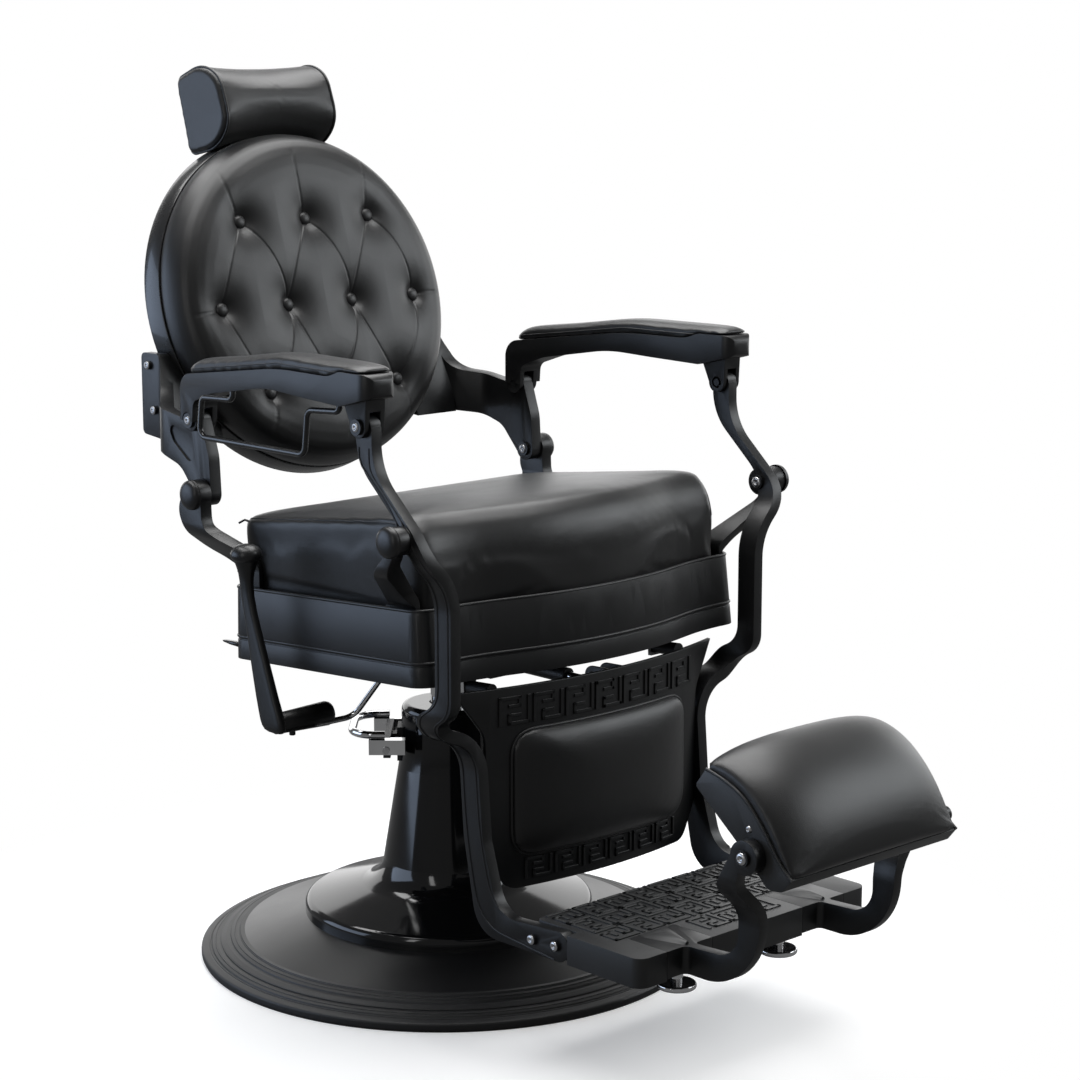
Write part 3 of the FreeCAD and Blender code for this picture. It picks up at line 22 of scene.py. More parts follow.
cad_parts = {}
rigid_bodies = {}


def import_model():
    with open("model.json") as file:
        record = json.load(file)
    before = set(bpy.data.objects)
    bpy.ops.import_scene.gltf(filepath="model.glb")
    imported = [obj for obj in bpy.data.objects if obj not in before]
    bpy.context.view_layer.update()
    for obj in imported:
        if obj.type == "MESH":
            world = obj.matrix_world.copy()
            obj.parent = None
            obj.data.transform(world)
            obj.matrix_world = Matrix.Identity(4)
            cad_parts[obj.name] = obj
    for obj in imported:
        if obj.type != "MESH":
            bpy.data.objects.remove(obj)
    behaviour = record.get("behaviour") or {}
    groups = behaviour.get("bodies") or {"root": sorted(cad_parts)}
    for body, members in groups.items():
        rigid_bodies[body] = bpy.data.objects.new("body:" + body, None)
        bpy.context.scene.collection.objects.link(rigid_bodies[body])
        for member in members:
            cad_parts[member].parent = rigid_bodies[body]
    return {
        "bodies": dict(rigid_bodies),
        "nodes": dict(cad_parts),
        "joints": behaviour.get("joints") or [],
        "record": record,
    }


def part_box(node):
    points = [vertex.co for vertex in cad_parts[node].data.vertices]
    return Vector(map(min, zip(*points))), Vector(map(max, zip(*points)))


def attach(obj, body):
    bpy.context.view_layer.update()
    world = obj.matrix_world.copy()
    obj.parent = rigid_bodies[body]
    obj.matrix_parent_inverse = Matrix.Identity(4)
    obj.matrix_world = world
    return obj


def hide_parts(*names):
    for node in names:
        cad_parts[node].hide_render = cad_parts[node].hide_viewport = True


logging.basicConfig(level=logging.INFO, format="%(message)s")
log = logging.getLogger("barber_chair")

MM = 0.001
FAR = 1e9  # farther than any piece reaches


class Slot(Enum):
    """The finishes that the chair's record names."""

    RUBBER = "ring_rubber"
    BASE_IRON = "base_iron"
    GLOSS = "gloss_cover"
    CASTING = "castings"
    FOOT_CASTING = "foot_castings"
    PUMP_IRON = "pump_iron"
    FRAME_STEEL = "frame_steel"
    BRIGHT = "bright"
    ZINC = "zinc"
    BLACK_STEEL = "black_steel"
    WOOD = "board_wood"
    LEATHER = "leatherette"
    PLASTIC = "knob_plastic"
    REAR_COVER = "rear_cover"


class Grain(Enum):
    """The kinds of fine surface relief a finish can have."""

    LEATHER = "leather"
    POWDER = "powder"
    CAST = "cast"
    BRUSHED = "brushed"
    TURNED = "turned"
    WOOD = "wood"
    PLAIN = "plain"


def mm(*values: float) -> Vector:
    """Give a point in metres from its coordinates in millimetres."""
    return Vector(values) * MM


def link(name: str, mesh: bpy.types.Mesh) -> bpy.types.Object:
    """Put a mesh into the scene as an object with the same name.

    Args:
        name: The object's name.
        mesh: Its mesh.

    Returns:
        The new object.
    """
    mesh.name = name
    obj = bpy.data.objects.new(name, mesh)
    bpy.context.scene.collection.objects.link(obj)
    return obj


def mesh_of(name: str, points: Sequence, faces: Sequence,
            edges: Sequence = ()) -> bpy.types.Object:
    """Make an object from points, faces and edges, smooth shaded.

    Args:
        name: The piece's name.
        points: Points in metres.
        faces: Corner numbers of each face.
        edges: Pairs of point numbers for a bare line.

    Returns:
        The new object.
    """
    mesh = bpy.data.meshes.new(name)
    mesh.from_pydata([tuple(p) for p in points], [tuple(e) for e in edges],
                     [tuple(f) for f in faces])
    mesh.update()
    if faces:
        mesh.shade_smooth()
    return link(name, mesh)


def settle(obj: bpy.types.Object) -> None:
    """Turn an object's modifiers into plain mesh and remove them.

    Args:
        obj: The object.
    """
    bpy.context.view_layer.update()
    depsgraph = bpy.context.evaluated_depsgraph_get()
    made = bpy.data.meshes.new_from_object(obj.evaluated_get(depsgraph))
    made.name = obj.name
    obj.modifiers.clear()
    obj.data = made


@contextmanager
def opened(mesh: bpy.types.Mesh) -> Iterator[bmesh.types.BMesh]:
    """Open a mesh for changes and write them back.

    Args:
        mesh: The mesh.

    Yields:
        The open mesh.
    """
    work = bmesh.new()
    work.from_mesh(mesh)
    yield work
    work.to_mesh(mesh)
    work.free()


def forget(mesh: bpy.types.Mesh, *labels: str) -> None:
    """Remove attributes that a finished mesh no longer needs.

    Args:
        mesh: The mesh.
        labels: The attributes' names.
    """
    for label in labels:
        found = mesh.attributes.get(label)
        if found:
            mesh.attributes.remove(found)


def rows_of(mesh: bpy.types.Mesh, label: str) -> np.ndarray:
    """Give a mesh's points or their normals as rows.

    Args:
        mesh: The mesh.
        label: "co" for the points, "normal" for the normals.

    Returns:
        One row of three numbers for each point.
    """
    flat = np.empty(len(mesh.vertices) * 3, np.float32)
    mesh.vertices.foreach_get(label, flat)
    return flat.reshape(-1, 3)


def surface(obj: bpy.types.Object) -> BVHTree:
    """Give a search tree over an object's faces."""
    mesh = obj.data
    return BVHTree.FromPolygons([v.co for v in mesh.vertices],
                                [tuple(p.vertices) for p in mesh.polygons])


def smooth_step(value: np.ndarray) -> np.ndarray:
    """Blend softly from 0 to 1."""
    value = np.clip(value, 0.0, 1.0)
    return value * value * (3 - 2 * value)


def bezier(start: Sequence, control: Sequence, end: Sequence, count: int = 24) -> np.ndarray:
    """Give points on a curve bent by one control point.

    Args:
        start: Where the curve starts.
        control: The point that it bends towards.
        end: Where it ends.
        count: Number of points.

    Returns:
        The points in order, as rows.
    """
    t = np.linspace(0, 1, count)[:, None]
    a, b, c = (np.asarray(p, float) for p in (start, control, end))
    return (1 - t) ** 2 * a + 2 * t * (1 - t) * b + t * t * c


@dataclass(frozen=True)
class Seating:
    """A leaning or tilted plane of the chair, with its own flat coordinates.

    The origin lies at (0, y, z) and the plane is turned about X by the angle in degrees.
    """

    y: float
    z: float
    angle: float

    def matrix(self) -> Matrix:
        """Give the matrix that takes flat millimetres to chair metres."""
        turn = Matrix.Rotation(math.radians(self.angle), 4, "X")
        return Matrix.Translation(mm(0, self.y, self.z)) @ turn @ Matrix.Scale(MM, 4)

    def points(self, flat: np.ndarray) -> np.ndarray:
        """Move flat points in millimetres to chair points in metres."""
        m = np.array(self.matrix())
        return flat @ m[:3, :3].T + m[:3, 3]


SEAT_PLANE = Seating(y=-86, z=458, angle=-3.5)
BACK_PLANE = Seating(y=346, z=886, angle=90 - 15.5)


class Nodes:
    """A small helper that adds shader or geometry nodes and joins them."""

    def __init__(self, tree: bpy.types.NodeTree) -> None:
        """Start with the tree that the nodes go into."""
        self.tree = tree

    def add(self, kind: str, inputs: dict | None = None,
            **settings: object) -> bpy.types.Node:
        """Add one node.

        Args:
            kind: The node's type name.
            inputs: Input name or number to a value or to another node's output socket.
            settings: Properties of the node itself.

        Returns:
            The new node.
        """
        node = self.tree.nodes.new(kind)
        for name, value in settings.items():
            setattr(node, name, value)
        for key, value in (inputs or {}).items():
            if isinstance(value, bpy.types.NodeSocket):
                self.tree.links.new(value, node.inputs[key])
            else:
                node.inputs[key].default_value = value
        return node

    def math(self, operation: str, first: object, second: object) -> bpy.types.NodeSocket:
        """Add a calculation with two values or sockets and give its result."""
        return self.add("ShaderNodeMath", {0: first, 1: second}, operation=operation).outputs[0]


def fresh_nodes(owner: bpy.types.Material | bpy.types.World) -> Nodes:
    """Give a material or a world an empty tree.

    Args:
        owner: The material or the world.

    Returns:
        The tree, ready for its nodes.
    """
    owner.use_nodes = True
    owner.node_tree.nodes.clear()
    return Nodes(owner.node_tree)


def wear_group() -> bpy.types.NodeTree:
    """Make the shared shader group that finds worn edges and slow colour variation.

    Returns:
        A group with the outputs Edge (0 to 1) and Variation (0 to 1).
    """
    found = bpy.data.node_groups.get("edge_and_variation")
    if found:
        return found
    tree = bpy.data.node_groups.new("edge_and_variation", "ShaderNodeTree")
    for label, way in (("Scale", "INPUT"), ("Edge", "OUTPUT"), ("Variation", "OUTPUT")):
        tree.interface.new_socket(label, in_out=way, socket_type="NodeSocketFloat")
    n = Nodes(tree)
    entry = n.add("NodeGroupInput")
    place = n.add("ShaderNodeTexCoord").outputs["Object"]
    pointed = n.add("ShaderNodeNewGeometry").outputs["Pointiness"]
    edge = n.add("ShaderNodeMapRange", {"Value": pointed, "From Min": 0.52, "From Max": 0.62,
                                        "To Min": 0.0, "To Max": 1.0}).outputs[0]
    cloud = n.add("ShaderNodeTexNoise", {"Vector": place, "Scale": entry.outputs["Scale"],
                                         "Detail": 4.0, "Roughness": 0.6}).outputs["Fac"]
    broken = n.math("MULTIPLY", edge, cloud)
    n.add("NodeGroupOutput", {"Edge": broken, "Variation": cloud})
    return tree


@dataclass(frozen=True)
class Finish:
    """One finish of the chair: its colours, gloss, fine grain and wear."""

    slot: Slot
    colour: tuple[float, float, float]
    roughness: float
    grain: Grain
    metallic: float = 0.0
    coat: float = 0.0
    coat_roughness: float = 0.06
    grain_scale: float = 900.0
    grain_depth: float = 0.1
    spread: float = 0.15
    worn: tuple[float, float, float] = (0.05, 0.05, 0.052)
    wear: float = 0.3
    sheen: float = 0.0
    sheen_roughness: float = 0.5
    cloud_scale: float = 14.0
    gloss_swing: float = 0.12
    grain_height: float = 0.0006

    def material(self) -> bpy.types.Material:
        """Build the finish as a procedural node material, once.

        Returns:
            The material, made now or found.
        """
        name = self.slot.value
        found = bpy.data.materials.get(name)
        if found and found.get("built"):
            return found
        made = bpy.data.materials.new(name)
        made["built"] = True
        n = fresh_nodes(made)
        wear = n.add("ShaderNodeGroup", node_tree=wear_group())
        wear.inputs["Scale"].default_value = self.cloud_scale
        place = n.add("ShaderNodeTexCoord").outputs["Object"]
        dark = n.add("ShaderNodeMixRGB", {
            "Fac": wear.outputs["Variation"],
            "Color1": (*[c * (1 - self.spread) for c in self.colour], 1),
            "Color2": (*[c * (1 + self.spread) for c in self.colour], 1)}).outputs[0]
        share = n.math("MULTIPLY", wear.outputs["Edge"], self.wear)
        colour = n.add("ShaderNodeMixRGB", {"Fac": share, "Color1": dark,
                                            "Color2": (*self.worn, 1)}).outputs[0]
        height = self.relief(n, place)
        bump = n.add("ShaderNodeBump", {"Height": height, "Strength": self.grain_depth,
                                        "Distance": self.grain_height}).outputs["Normal"]
        fine = n.math("MULTIPLY", wear.outputs["Variation"], self.gloss_swing)
        rough = n.math("ADD", fine, self.roughness - self.gloss_swing / 2)
        shader = n.add("ShaderNodeBsdfPrincipled", {"Base Color": colour, "Roughness": rough,
                                                    "Normal": bump})
        shader.inputs["Metallic"].default_value = self.metallic
        shader.inputs["Coat Weight"].default_value = self.coat
        shader.inputs["Coat Roughness"].default_value = self.coat_roughness
        shader.inputs["Sheen Weight"].default_value = self.sheen
        shader.inputs["Sheen Roughness"].default_value = self.sheen_roughness
        n.add("ShaderNodeOutputMaterial", {"Surface": shader.outputs[0]})
        made.diffuse_color = (*self.colour, 1)
        return made

    def relief(self, n: Nodes, place: bpy.types.NodeSocket) -> bpy.types.NodeSocket:
        """Give the height of the fine grain.

        Args:
            n: The material's nodes.
            place: The point on the piece, in object coordinates.

        Returns:
            The socket that carries the height.
        """
        scale = self.grain_scale
        if self.grain is Grain.LEATHER:
            cells = n.add("ShaderNodeTexVoronoi", {"Vector": place, "Scale": scale,
                                                   "Randomness": 1.0},
                          feature="DISTANCE_TO_EDGE").outputs["Distance"]
            pores = n.add("ShaderNodeTexNoise", {"Vector": place, "Scale": scale * 0.25,
                                                 "Detail": 3.0}).outputs["Fac"]
            return n.math("ADD", cells, n.math("MULTIPLY", pores, 0.6))
        if self.grain in (Grain.BRUSHED, Grain.TURNED, Grain.WOOD):
            stretch = {Grain.BRUSHED: (1, 1, 0.04), Grain.TURNED: (0.2, 0.2, 1),
                       Grain.WOOD: (0.05, 1, 1)}[self.grain]
            moved = n.add("ShaderNodeMapping", {"Vector": place, "Scale": stretch})
            return n.add("ShaderNodeTexNoise", {"Vector": moved.outputs[0], "Scale": scale,
                                                "Detail": 5.0}).outputs["Fac"]
        detail = {Grain.POWDER: 2.0, Grain.CAST: 6.0, Grain.PLAIN: 1.0}[self.grain]
        return n.add("ShaderNodeTexNoise", {"Vector": place, "Scale": scale,
                                            "Detail": detail}).outputs["Fac"]


FINISHES = {finish.slot: finish for finish in (
    Finish(Slot.RUBBER, (0.02, 0.02, 0.0205), 0.52, Grain.CAST, grain_scale=500,
           grain_depth=0.12, wear=0.1),
    Finish(Slot.BASE_IRON, (0.012, 0.012, 0.0125), 0.33, Grain.POWDER, grain_scale=700,
           grain_depth=0.06, wear=0.15),
    Finish(Slot.GLOSS, (0.006, 0.006, 0.0065), 0.1, Grain.PLAIN, coat=0.1, grain_scale=60,
           grain_depth=0.01, spread=0.05, wear=0.0),
    Finish(Slot.CASTING, (0.0045, 0.0047, 0.0052), 0.38, Grain.POWDER, grain_scale=1100,
           grain_depth=0.12, wear=0.25),
    Finish(Slot.FOOT_CASTING, (0.02, 0.0205, 0.021), 0.45, Grain.CAST, grain_scale=900,
           grain_depth=0.16, worn=(0.08, 0.08, 0.08), wear=0.35),
    Finish(Slot.PUMP_IRON, (0.05, 0.05, 0.052), 0.5, Grain.CAST, grain_depth=0.2),
    Finish(Slot.FRAME_STEEL, (0.02, 0.02, 0.021), 0.45, Grain.POWDER),
    Finish(Slot.BRIGHT, (0.72, 0.72, 0.73), 0.1, Grain.TURNED, metallic=1.0, grain_depth=0.02,
           worn=(0.8, 0.8, 0.8)),
    Finish(Slot.ZINC, (0.52, 0.52, 0.53), 0.3, Grain.BRUSHED, metallic=1.0, grain_depth=0.06,
           worn=(0.75, 0.75, 0.75)),
    Finish(Slot.BLACK_STEEL, (0.008, 0.008, 0.0085), 0.28, Grain.PLAIN, coat=0.3,
           grain_depth=0.03),
    Finish(Slot.WOOD, (0.045, 0.034, 0.025), 0.6, Grain.WOOD, grain_scale=120, grain_depth=0.2,
           worn=(0.5, 0.38, 0.26)),
    Finish(Slot.LEATHER, (0.0065, 0.0065, 0.0068), 0.38, Grain.LEATHER, grain_scale=620,
           grain_depth=0.22, spread=0.2, wear=0.12, sheen=0.06),
    Finish(Slot.PLASTIC, (0.008, 0.008, 0.0085), 0.36, Grain.POWDER, grain_depth=0.04),
    Finish(Slot.REAR_COVER, (0.014, 0.014, 0.015), 0.45, Grain.POWDER, grain_scale=600,
           grain_depth=0.15),
)}


def wear_finish(obj: bpy.types.Object, slot: Slot) -> None:
    """Give a piece one finish: the material named after the record's slot.

    Args:
        obj: The piece.
        slot: The finish.
    """
    obj.data.materials.clear()
    obj.data.materials.append(FINISHES[slot].material())


class Growth:
    """Geometry node trees for what follows a path or repeats, kept by name."""

    @staticmethod
    def tree(name: str, inputs: Iterable[tuple[str, str, object]]) -> tuple[Nodes, dict, Callable]:
        """Start a geometry tree with named inputs.

        Args:
            name: The tree's name.
            inputs: Name, socket type and default of each input after the geometry.

        Returns:
            The nodes, the group's input sockets by name, and a call that ends the tree.
        """
        made = bpy.data.node_groups.new(name, "GeometryNodeTree")
        made.interface.new_socket("Geometry", in_out="INPUT",
                                  socket_type="NodeSocketGeometry")
        for label, kind, default in inputs:
            item = made.interface.new_socket(label, in_out="INPUT", socket_type=kind)
            if default is not None:
                item.default_value = default
        made.interface.new_socket("Geometry", in_out="OUTPUT",
                                  socket_type="NodeSocketGeometry")
        n = Nodes(made)
        entry = n.add("NodeGroupInput")
        sockets = {socket.name: socket for socket in entry.outputs if socket.name}

        def end(geometry: bpy.types.NodeSocket) -> bpy.types.NodeTree:
            """Realize the instances, set the material and close the tree.

            Args:
                geometry: What the tree has made.

            Returns:
                The finished tree.
            """
            real = n.add("GeometryNodeRealizeInstances", {0: geometry}).outputs[0]
            dressed = n.add("GeometryNodeSetMaterial", {0: real,
                                                        "Material": sockets["Material"]})
            n.add("NodeGroupOutput", {0: dressed.outputs[0]})
            return made

        return n, sockets, end

    @staticmethod
    def run(obj: bpy.types.Object, tree: bpy.types.NodeTree, values: dict) -> None:
        """Apply a tree to an object and make it plain mesh.

        Args:
            obj: The object that the tree works on.
            tree: The geometry tree.
            values: Values of the tree's inputs by name.
        """
        modifier = obj.modifiers.new(tree.name, "NODES")
        modifier.node_group = tree
        for item in tree.interface.items_tree:
            if item.item_type == "SOCKET" and item.in_out == "INPUT" and item.name in values:
                modifier[item.identifier] = values[item.name]
        settle(obj)


def tube_tree() -> bpy.types.NodeTree:
    """Make the tree that turns a bare line into a round cord: piping, beads and seams.

    Returns:
        The tree, made now or found.
    """
    found = bpy.data.node_groups.get("tube_along_line")
    if found:
        return found
    n, inputs, end = Growth.tree("tube_along_line", [
        ("Radius", "NodeSocketFloat", 0.002), ("Sides", "NodeSocketInt", 8),
        ("Spacing", "NodeSocketFloat", 0.006), ("Material", "NodeSocketMaterial", None)])
    curve = n.add("GeometryNodeMeshToCurve", {0: inputs["Geometry"]}).outputs[0]
    even_run = n.add("GeometryNodeResampleCurve", {0: curve, "Length": inputs["Spacing"]},
                     mode="LENGTH")
    ring = n.add("GeometryNodeCurvePrimitiveCircle", {"Resolution": inputs["Sides"],
                                                      "Radius": inputs["Radius"]}).outputs[0]
    swept = n.add("GeometryNodeCurveToMesh", {0: even_run.outputs[0], 1: ring})
    swept.inputs["Fill Caps"].default_value = True
    soft = n.add("GeometryNodeSetShadeSmooth", {0: swept.outputs[0]}).outputs[0]
    return end(soft)


def pattern_tree() -> bpy.types.NodeTree:
    """Make the tree that sets one piece on every point, turned to the point's direction.

    Returns:
        The tree, made now or found.
    """
    found = bpy.data.node_groups.get("pieces_on_points")
    if found:
        return found
    n, inputs, end = Growth.tree("pieces_on_points", [
        ("Piece", "NodeSocketObject", None), ("Size", "NodeSocketFloat", 1.0),
        ("Material", "NodeSocketMaterial", None)])
    piece = n.add("GeometryNodeObjectInfo", {"Object": inputs["Piece"]})
    facing, along, size = (
        n.add("GeometryNodeInputNamedAttribute", {"Name": label}, data_type=kind).outputs[0]
        for label, kind in (("facing", "FLOAT_VECTOR"), ("along", "FLOAT_VECTOR"),
                            ("size", "FLOAT")))
    first = n.add("FunctionNodeAlignRotationToVector", {"Vector": facing}, axis="Z").outputs[0]
    turned = n.add("FunctionNodeAlignRotationToVector", {"Rotation": first, "Vector": along},
                   axis="X", pivot_axis="Z").outputs[0]
    scaled = n.math("MULTIPLY", size, inputs["Size"])
    copies = n.add("GeometryNodeInstanceOnPoints", {
        "Points": inputs["Geometry"], "Instance": piece.outputs["Geometry"],
        "Rotation": turned, "Scale": scaled}).outputs[0]
    return end(copies)


def tube(name: str, points: np.ndarray, radius: float, slot: Slot, body: str,
         closed: bool = False, sides: int = 8, spacing: float = 5.0) -> None:
    """Lay a round cord along points.

    Args:
        name: The piece's name.
        points: Points in metres.
        radius: Radius in millimetres.
        slot: Its finish.
        body: The CAD body that it moves with.
        closed: Whether the line comes back to its start.
        sides: Number of faces round the cord.
        spacing: Distance between rings in millimetres.
    """
    count = len(points)
    edges = [(i, i + 1) for i in range(count - 1)] + ([(count - 1, 0)] if closed else [])
    obj = mesh_of(name, points, (), edges)
    Growth.run(obj, tube_tree(), {"Radius": radius * MM, "Sides": sides,
                                  "Spacing": spacing * MM,
                                  "Material": FINISHES[slot].material()})
    obj.data.shade_smooth()
    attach(obj, body)


def spread(name: str, piece: bpy.types.Object, places: Sequence, slot: Slot,
           body: str) -> bpy.types.Object:
    """Set copies of one piece on many places.

    Args:
        name: The name of the whole set.
        piece: The piece, drawn at the origin with its face towards +Z; it is removed after.
        places: Tuples of point, facing direction, direction along, and size.
        slot: The finish.
        body: The CAD body that the set moves with.

    Returns:
        One object with all the copies.
    """
    obj = mesh_of(name, [p[0] for p in places], ())
    for label, index in (("facing", 1), ("along", 2)):
        values = obj.data.attributes.new(label, "FLOAT_VECTOR", "POINT")
        flat = np.array([tuple(p[index]) for p in places], np.float32).ravel()
        values.data.foreach_set("vector", flat)
    sizes = obj.data.attributes.new("size", "FLOAT", "POINT")
    sizes.data.foreach_set("value", np.array([p[3] for p in places], np.float32))
    Growth.run(obj, pattern_tree(), {"Piece": piece, "Size": 1.0,
                                     "Material": FINISHES[slot].material()})
    forget(obj.data, "facing", "along", "size")
    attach(obj, body)
    return obj


def ring_faces(low: int, high: int, count: int) -> list[tuple[int, ...]]:
    """Give the faces between two closed rings of points.

    Args:
        low: Number of the lower ring's first point.
        high: Number of the upper ring's first point.
        count: Number of points in each ring.

    Returns:
        One four-sided face for each step round the rings.
    """
    return [(low + step, low + (step + 1) % count, high + (step + 1) % count, high + step)
            for step in range(count)]


def lathe(name: str, profile: Sequence, sides: int) -> bpy.types.Object:
    """Turn a profile round Z into a closed piece.

    Args:
        name: The piece's name.
        profile: (radius, height) in millimetres; a radius of 0 is a pole.
        sides: Number of faces round the piece.

    Returns:
        The new piece.
    """
    points, faces, starts = [], [], []
    for radius, height in profile:
        starts.append((len(points), radius == 0))
        for step in range(1 if radius == 0 else sides):
            angle = math.tau * step / sides
            points.append(mm(radius * math.cos(angle), radius * math.sin(angle), height))
    for (low, low_pole), (high, high_pole) in zip(starts, starts[1:]):
        for step in range(sides):
            after = (step + 1) % sides
            if low_pole:
                faces.append((high + step, high + after, low))
            elif high_pole:
                faces.append((low + step, low + after, high))
            else:
                faces.append((low + step, low + after, high + after, high + step))
    return mesh_of(name, points, faces)


def loft(name: str, rings: Sequence) -> bpy.types.Object:
    """Skin a closed piece over rings of points.

    Args:
        name: The piece's name.
        rings: Rings in metres, each with the same number of points.

    Returns:
        The closed piece, with its faces outward.
    """
    count = len(rings[0])
    points = np.vstack(rings)
    faces = [tuple(range(count)), tuple(range(len(points) - count, len(points)))]
    for low in range(0, len(points) - count, count):
        faces += [(a, d, c, b) for a, b, c, d in ring_faces(low, low + count, count)]
    obj = mesh_of(name, points, faces)
    with opened(obj.data) as work:
        bmesh.ops.recalc_face_normals(work, faces=work.faces)
    return obj


class Chair:
    """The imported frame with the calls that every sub-assembly uses.

    Points nearer than merge, in metres, become one. The angles are degrees.
    """

    merge = 2e-6
    flat_angle = 0.8
    edge_angle = 38.0
    shade_angle = 40.0

    def __init__(self, frame: dict) -> None:
        """Keep the frame's nodes and the body of each.

        Args:
            frame: The loaded frame.
        """
        self.nodes = frame["nodes"]
        groups = frame["record"]["behaviour"]["bodies"]
        self.body = {node: body for body, members in groups.items() for node in members}

    def finish(self, slot: Slot, *names: str) -> None:
        """Give CAD nodes a finish.

        Args:
            slot: The finish.
            names: The nodes.
        """
        for name in names:
            materials = self.nodes[name].data.materials
            materials.clear()
            materials.append(FINISHES[slot].material())

    def copy(self, node: str, name: str) -> bpy.types.Object:
        """Copy a CAD node with its loose triangles merged.

        Args:
            node: The CAD node.
            name: The copy's name.

        Returns:
            The copy, with no finish and no body yet.
        """
        obj = link(name, self.nodes[node].data.copy())
        with opened(obj.data) as work:
            bmesh.ops.remove_doubles(work, verts=work.verts, dist=self.merge)
        forget(obj.data, "custom_normal")
        return obj

    def cast(self, node: str, slot: Slot, edge: float, steps: int = 3) -> bpy.types.Object:
        """Round the edges of a casting: a merged and bevelled copy stands for the node.

        Args:
            node: The CAD node.
            slot: Its finish.
            edge: Width of the rounding in millimetres.
            steps: Number of faces across the rounding.

        Returns:
            The rounded copy.
        """
        obj = self.copy(node, node + "_cast")
        with opened(obj.data) as work:
            bmesh.ops.dissolve_limit(work, angle_limit=math.radians(self.flat_angle),
                                     verts=work.verts, edges=work.edges)
        bevel = obj.modifiers.new("rounding", "BEVEL")
        bevel.width = edge * MM
        bevel.segments = steps
        bevel.limit_method = "ANGLE"
        bevel.angle_limit = math.radians(self.edge_angle)
        bevel.use_clamp_overlap = True
        bevel.harden_normals = False
        settle(obj)
        self.shade(obj, self.shade_angle)
        wear_finish(obj, slot)
        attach(obj, self.body[node])
        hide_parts(node)
        return obj

    @staticmethod
    def shade(obj: bpy.types.Object, degrees: float) -> None:
        """Shade smooth, but keep edges sharper than the angle."""
        obj.data.shade_smooth()
        obj.data.set_sharp_from_angle(angle=math.radians(degrees))


class Softening:
    """Turns stiff CAD pads into stuffed pieces: a fine skin, blown up a little like foam."""

    frames = 20
    stretch = 18
    bend = 0.6
    least_hold = 0.02

    @classmethod
    def blow(cls, obj: bpy.types.Object, hold: Callable[[np.ndarray], np.ndarray],
             pressure: float, limit: float) -> None:
        """Run a short cloth simulation with pressure inside and keep the small movement.

        Args:
            obj: The closed skin.
            hold: Gives, for the points in metres, how firmly each one is held, 0 to 1.
            pressure: The pressure inside.
            limit: The largest movement kept, in millimetres.
        """
        mesh = obj.data
        start = rows_of(mesh, "co")
        group = obj.vertex_groups.new(name="held")
        held = hold(start)
        for index in np.flatnonzero(held > cls.least_hold):
            group.add([int(index)], float(held[index]), "REPLACE")
        cloth = obj.modifiers.new("stuffing", "CLOTH")
        cloth.settings.use_pressure = True
        cloth.settings.uniform_pressure_force = pressure
        cloth.settings.effector_weights.gravity = 0.0
        cloth.settings.vertex_group_mass = "held"
        cloth.settings.quality = 4
        cloth.settings.tension_stiffness = cls.stretch
        cloth.settings.compression_stiffness = cls.stretch
        cloth.settings.bending_stiffness = cls.bend
        cloth.collision_settings.use_collision = False
        scene = bpy.context.scene
        cloth.point_cache.frame_start = 1
        cloth.point_cache.frame_end = cls.frames
        for number in range(1, cls.frames + 1):
            scene.frame_set(number)
        depsgraph = bpy.context.evaluated_depsgraph_get()
        blown = bpy.data.meshes.new_from_object(obj.evaluated_get(depsgraph))
        moved = rows_of(blown, "co") - start
        length = np.linalg.norm(moved, axis=1, keepdims=True)
        moved *= np.minimum(1.0, limit * MM / np.maximum(length, 1e-9))
        mesh.vertices.foreach_set("co", (start + moved).ravel())
        bpy.data.meshes.remove(blown)
        obj.modifiers.clear()
        obj.vertex_groups.clear()
        scene.frame_set(1)

    @staticmethod
    def skin(obj: bpy.types.Object, grid: float, rounds: int) -> None:
        """Give a pad an even fine skin and rub its edges round.

        Args:
            obj: The merged CAD copy or the lofted form.
            grid: Size of the skin's faces in millimetres.
            rounds: How often the skin is smoothed.
        """
        remesh = obj.modifiers.new("skin", "REMESH")
        remesh.mode = "VOXEL"
        remesh.voxel_size = grid * MM
        smooth = obj.modifiers.new("rub", "SMOOTH")
        smooth.factor = 0.5
        smooth.iterations = rounds
        settle(obj)

    @staticmethod
    def refine(obj: bpy.types.Object) -> None:
        """Divide the skin once and shade it smooth.

        Args:
            obj: The skin.
        """
        finer = obj.modifiers.new("finer", "SUBSURF")
        finer.levels = 1
        finer.render_levels = 1
        settle(obj)
        obj.data.shade_smooth()


def move_points(obj: bpy.types.Object,
                change: Callable[[np.ndarray, np.ndarray], np.ndarray]) -> None:
    """Move a piece's points.

    Args:
        obj: The piece.
        change: Gives the movement in metres from the points and their normals.
    """
    mesh = obj.data
    points = rows_of(mesh, "co")
    moved = points + change(points, rows_of(mesh, "normal"))
    mesh.vertices.foreach_set("co", moved.astype(np.float32).ravel())
    mesh.update()


def along_line(points: np.ndarray, line: np.ndarray) -> tuple[np.ndarray, np.ndarray]:
    """Measure points against a line made of short runs.

    Args:
        points: Points to measure.
        line: The line's points.

    Returns:
        The distance of each point to the line, and the share of the line's length there.
    """
    best = np.full(len(points), FAR)
    share = np.zeros(len(points))
    runs = np.linalg.norm(np.diff(line, axis=0), axis=1)
    total = runs.sum()
    passed = 0.0
    for first, second, run in zip(line, line[1:], runs):
        way = second - first
        t = np.clip(((points - first) @ way) / max(float(way @ way), 1e-12), 0, 1)
        gap = np.linalg.norm(points - (first + t[:, None] * way), axis=1)
        near = gap < best
        best = np.where(near, gap, best)
        share = np.where(near, (passed + t * run) / total, share)
        passed += run
    return best, share


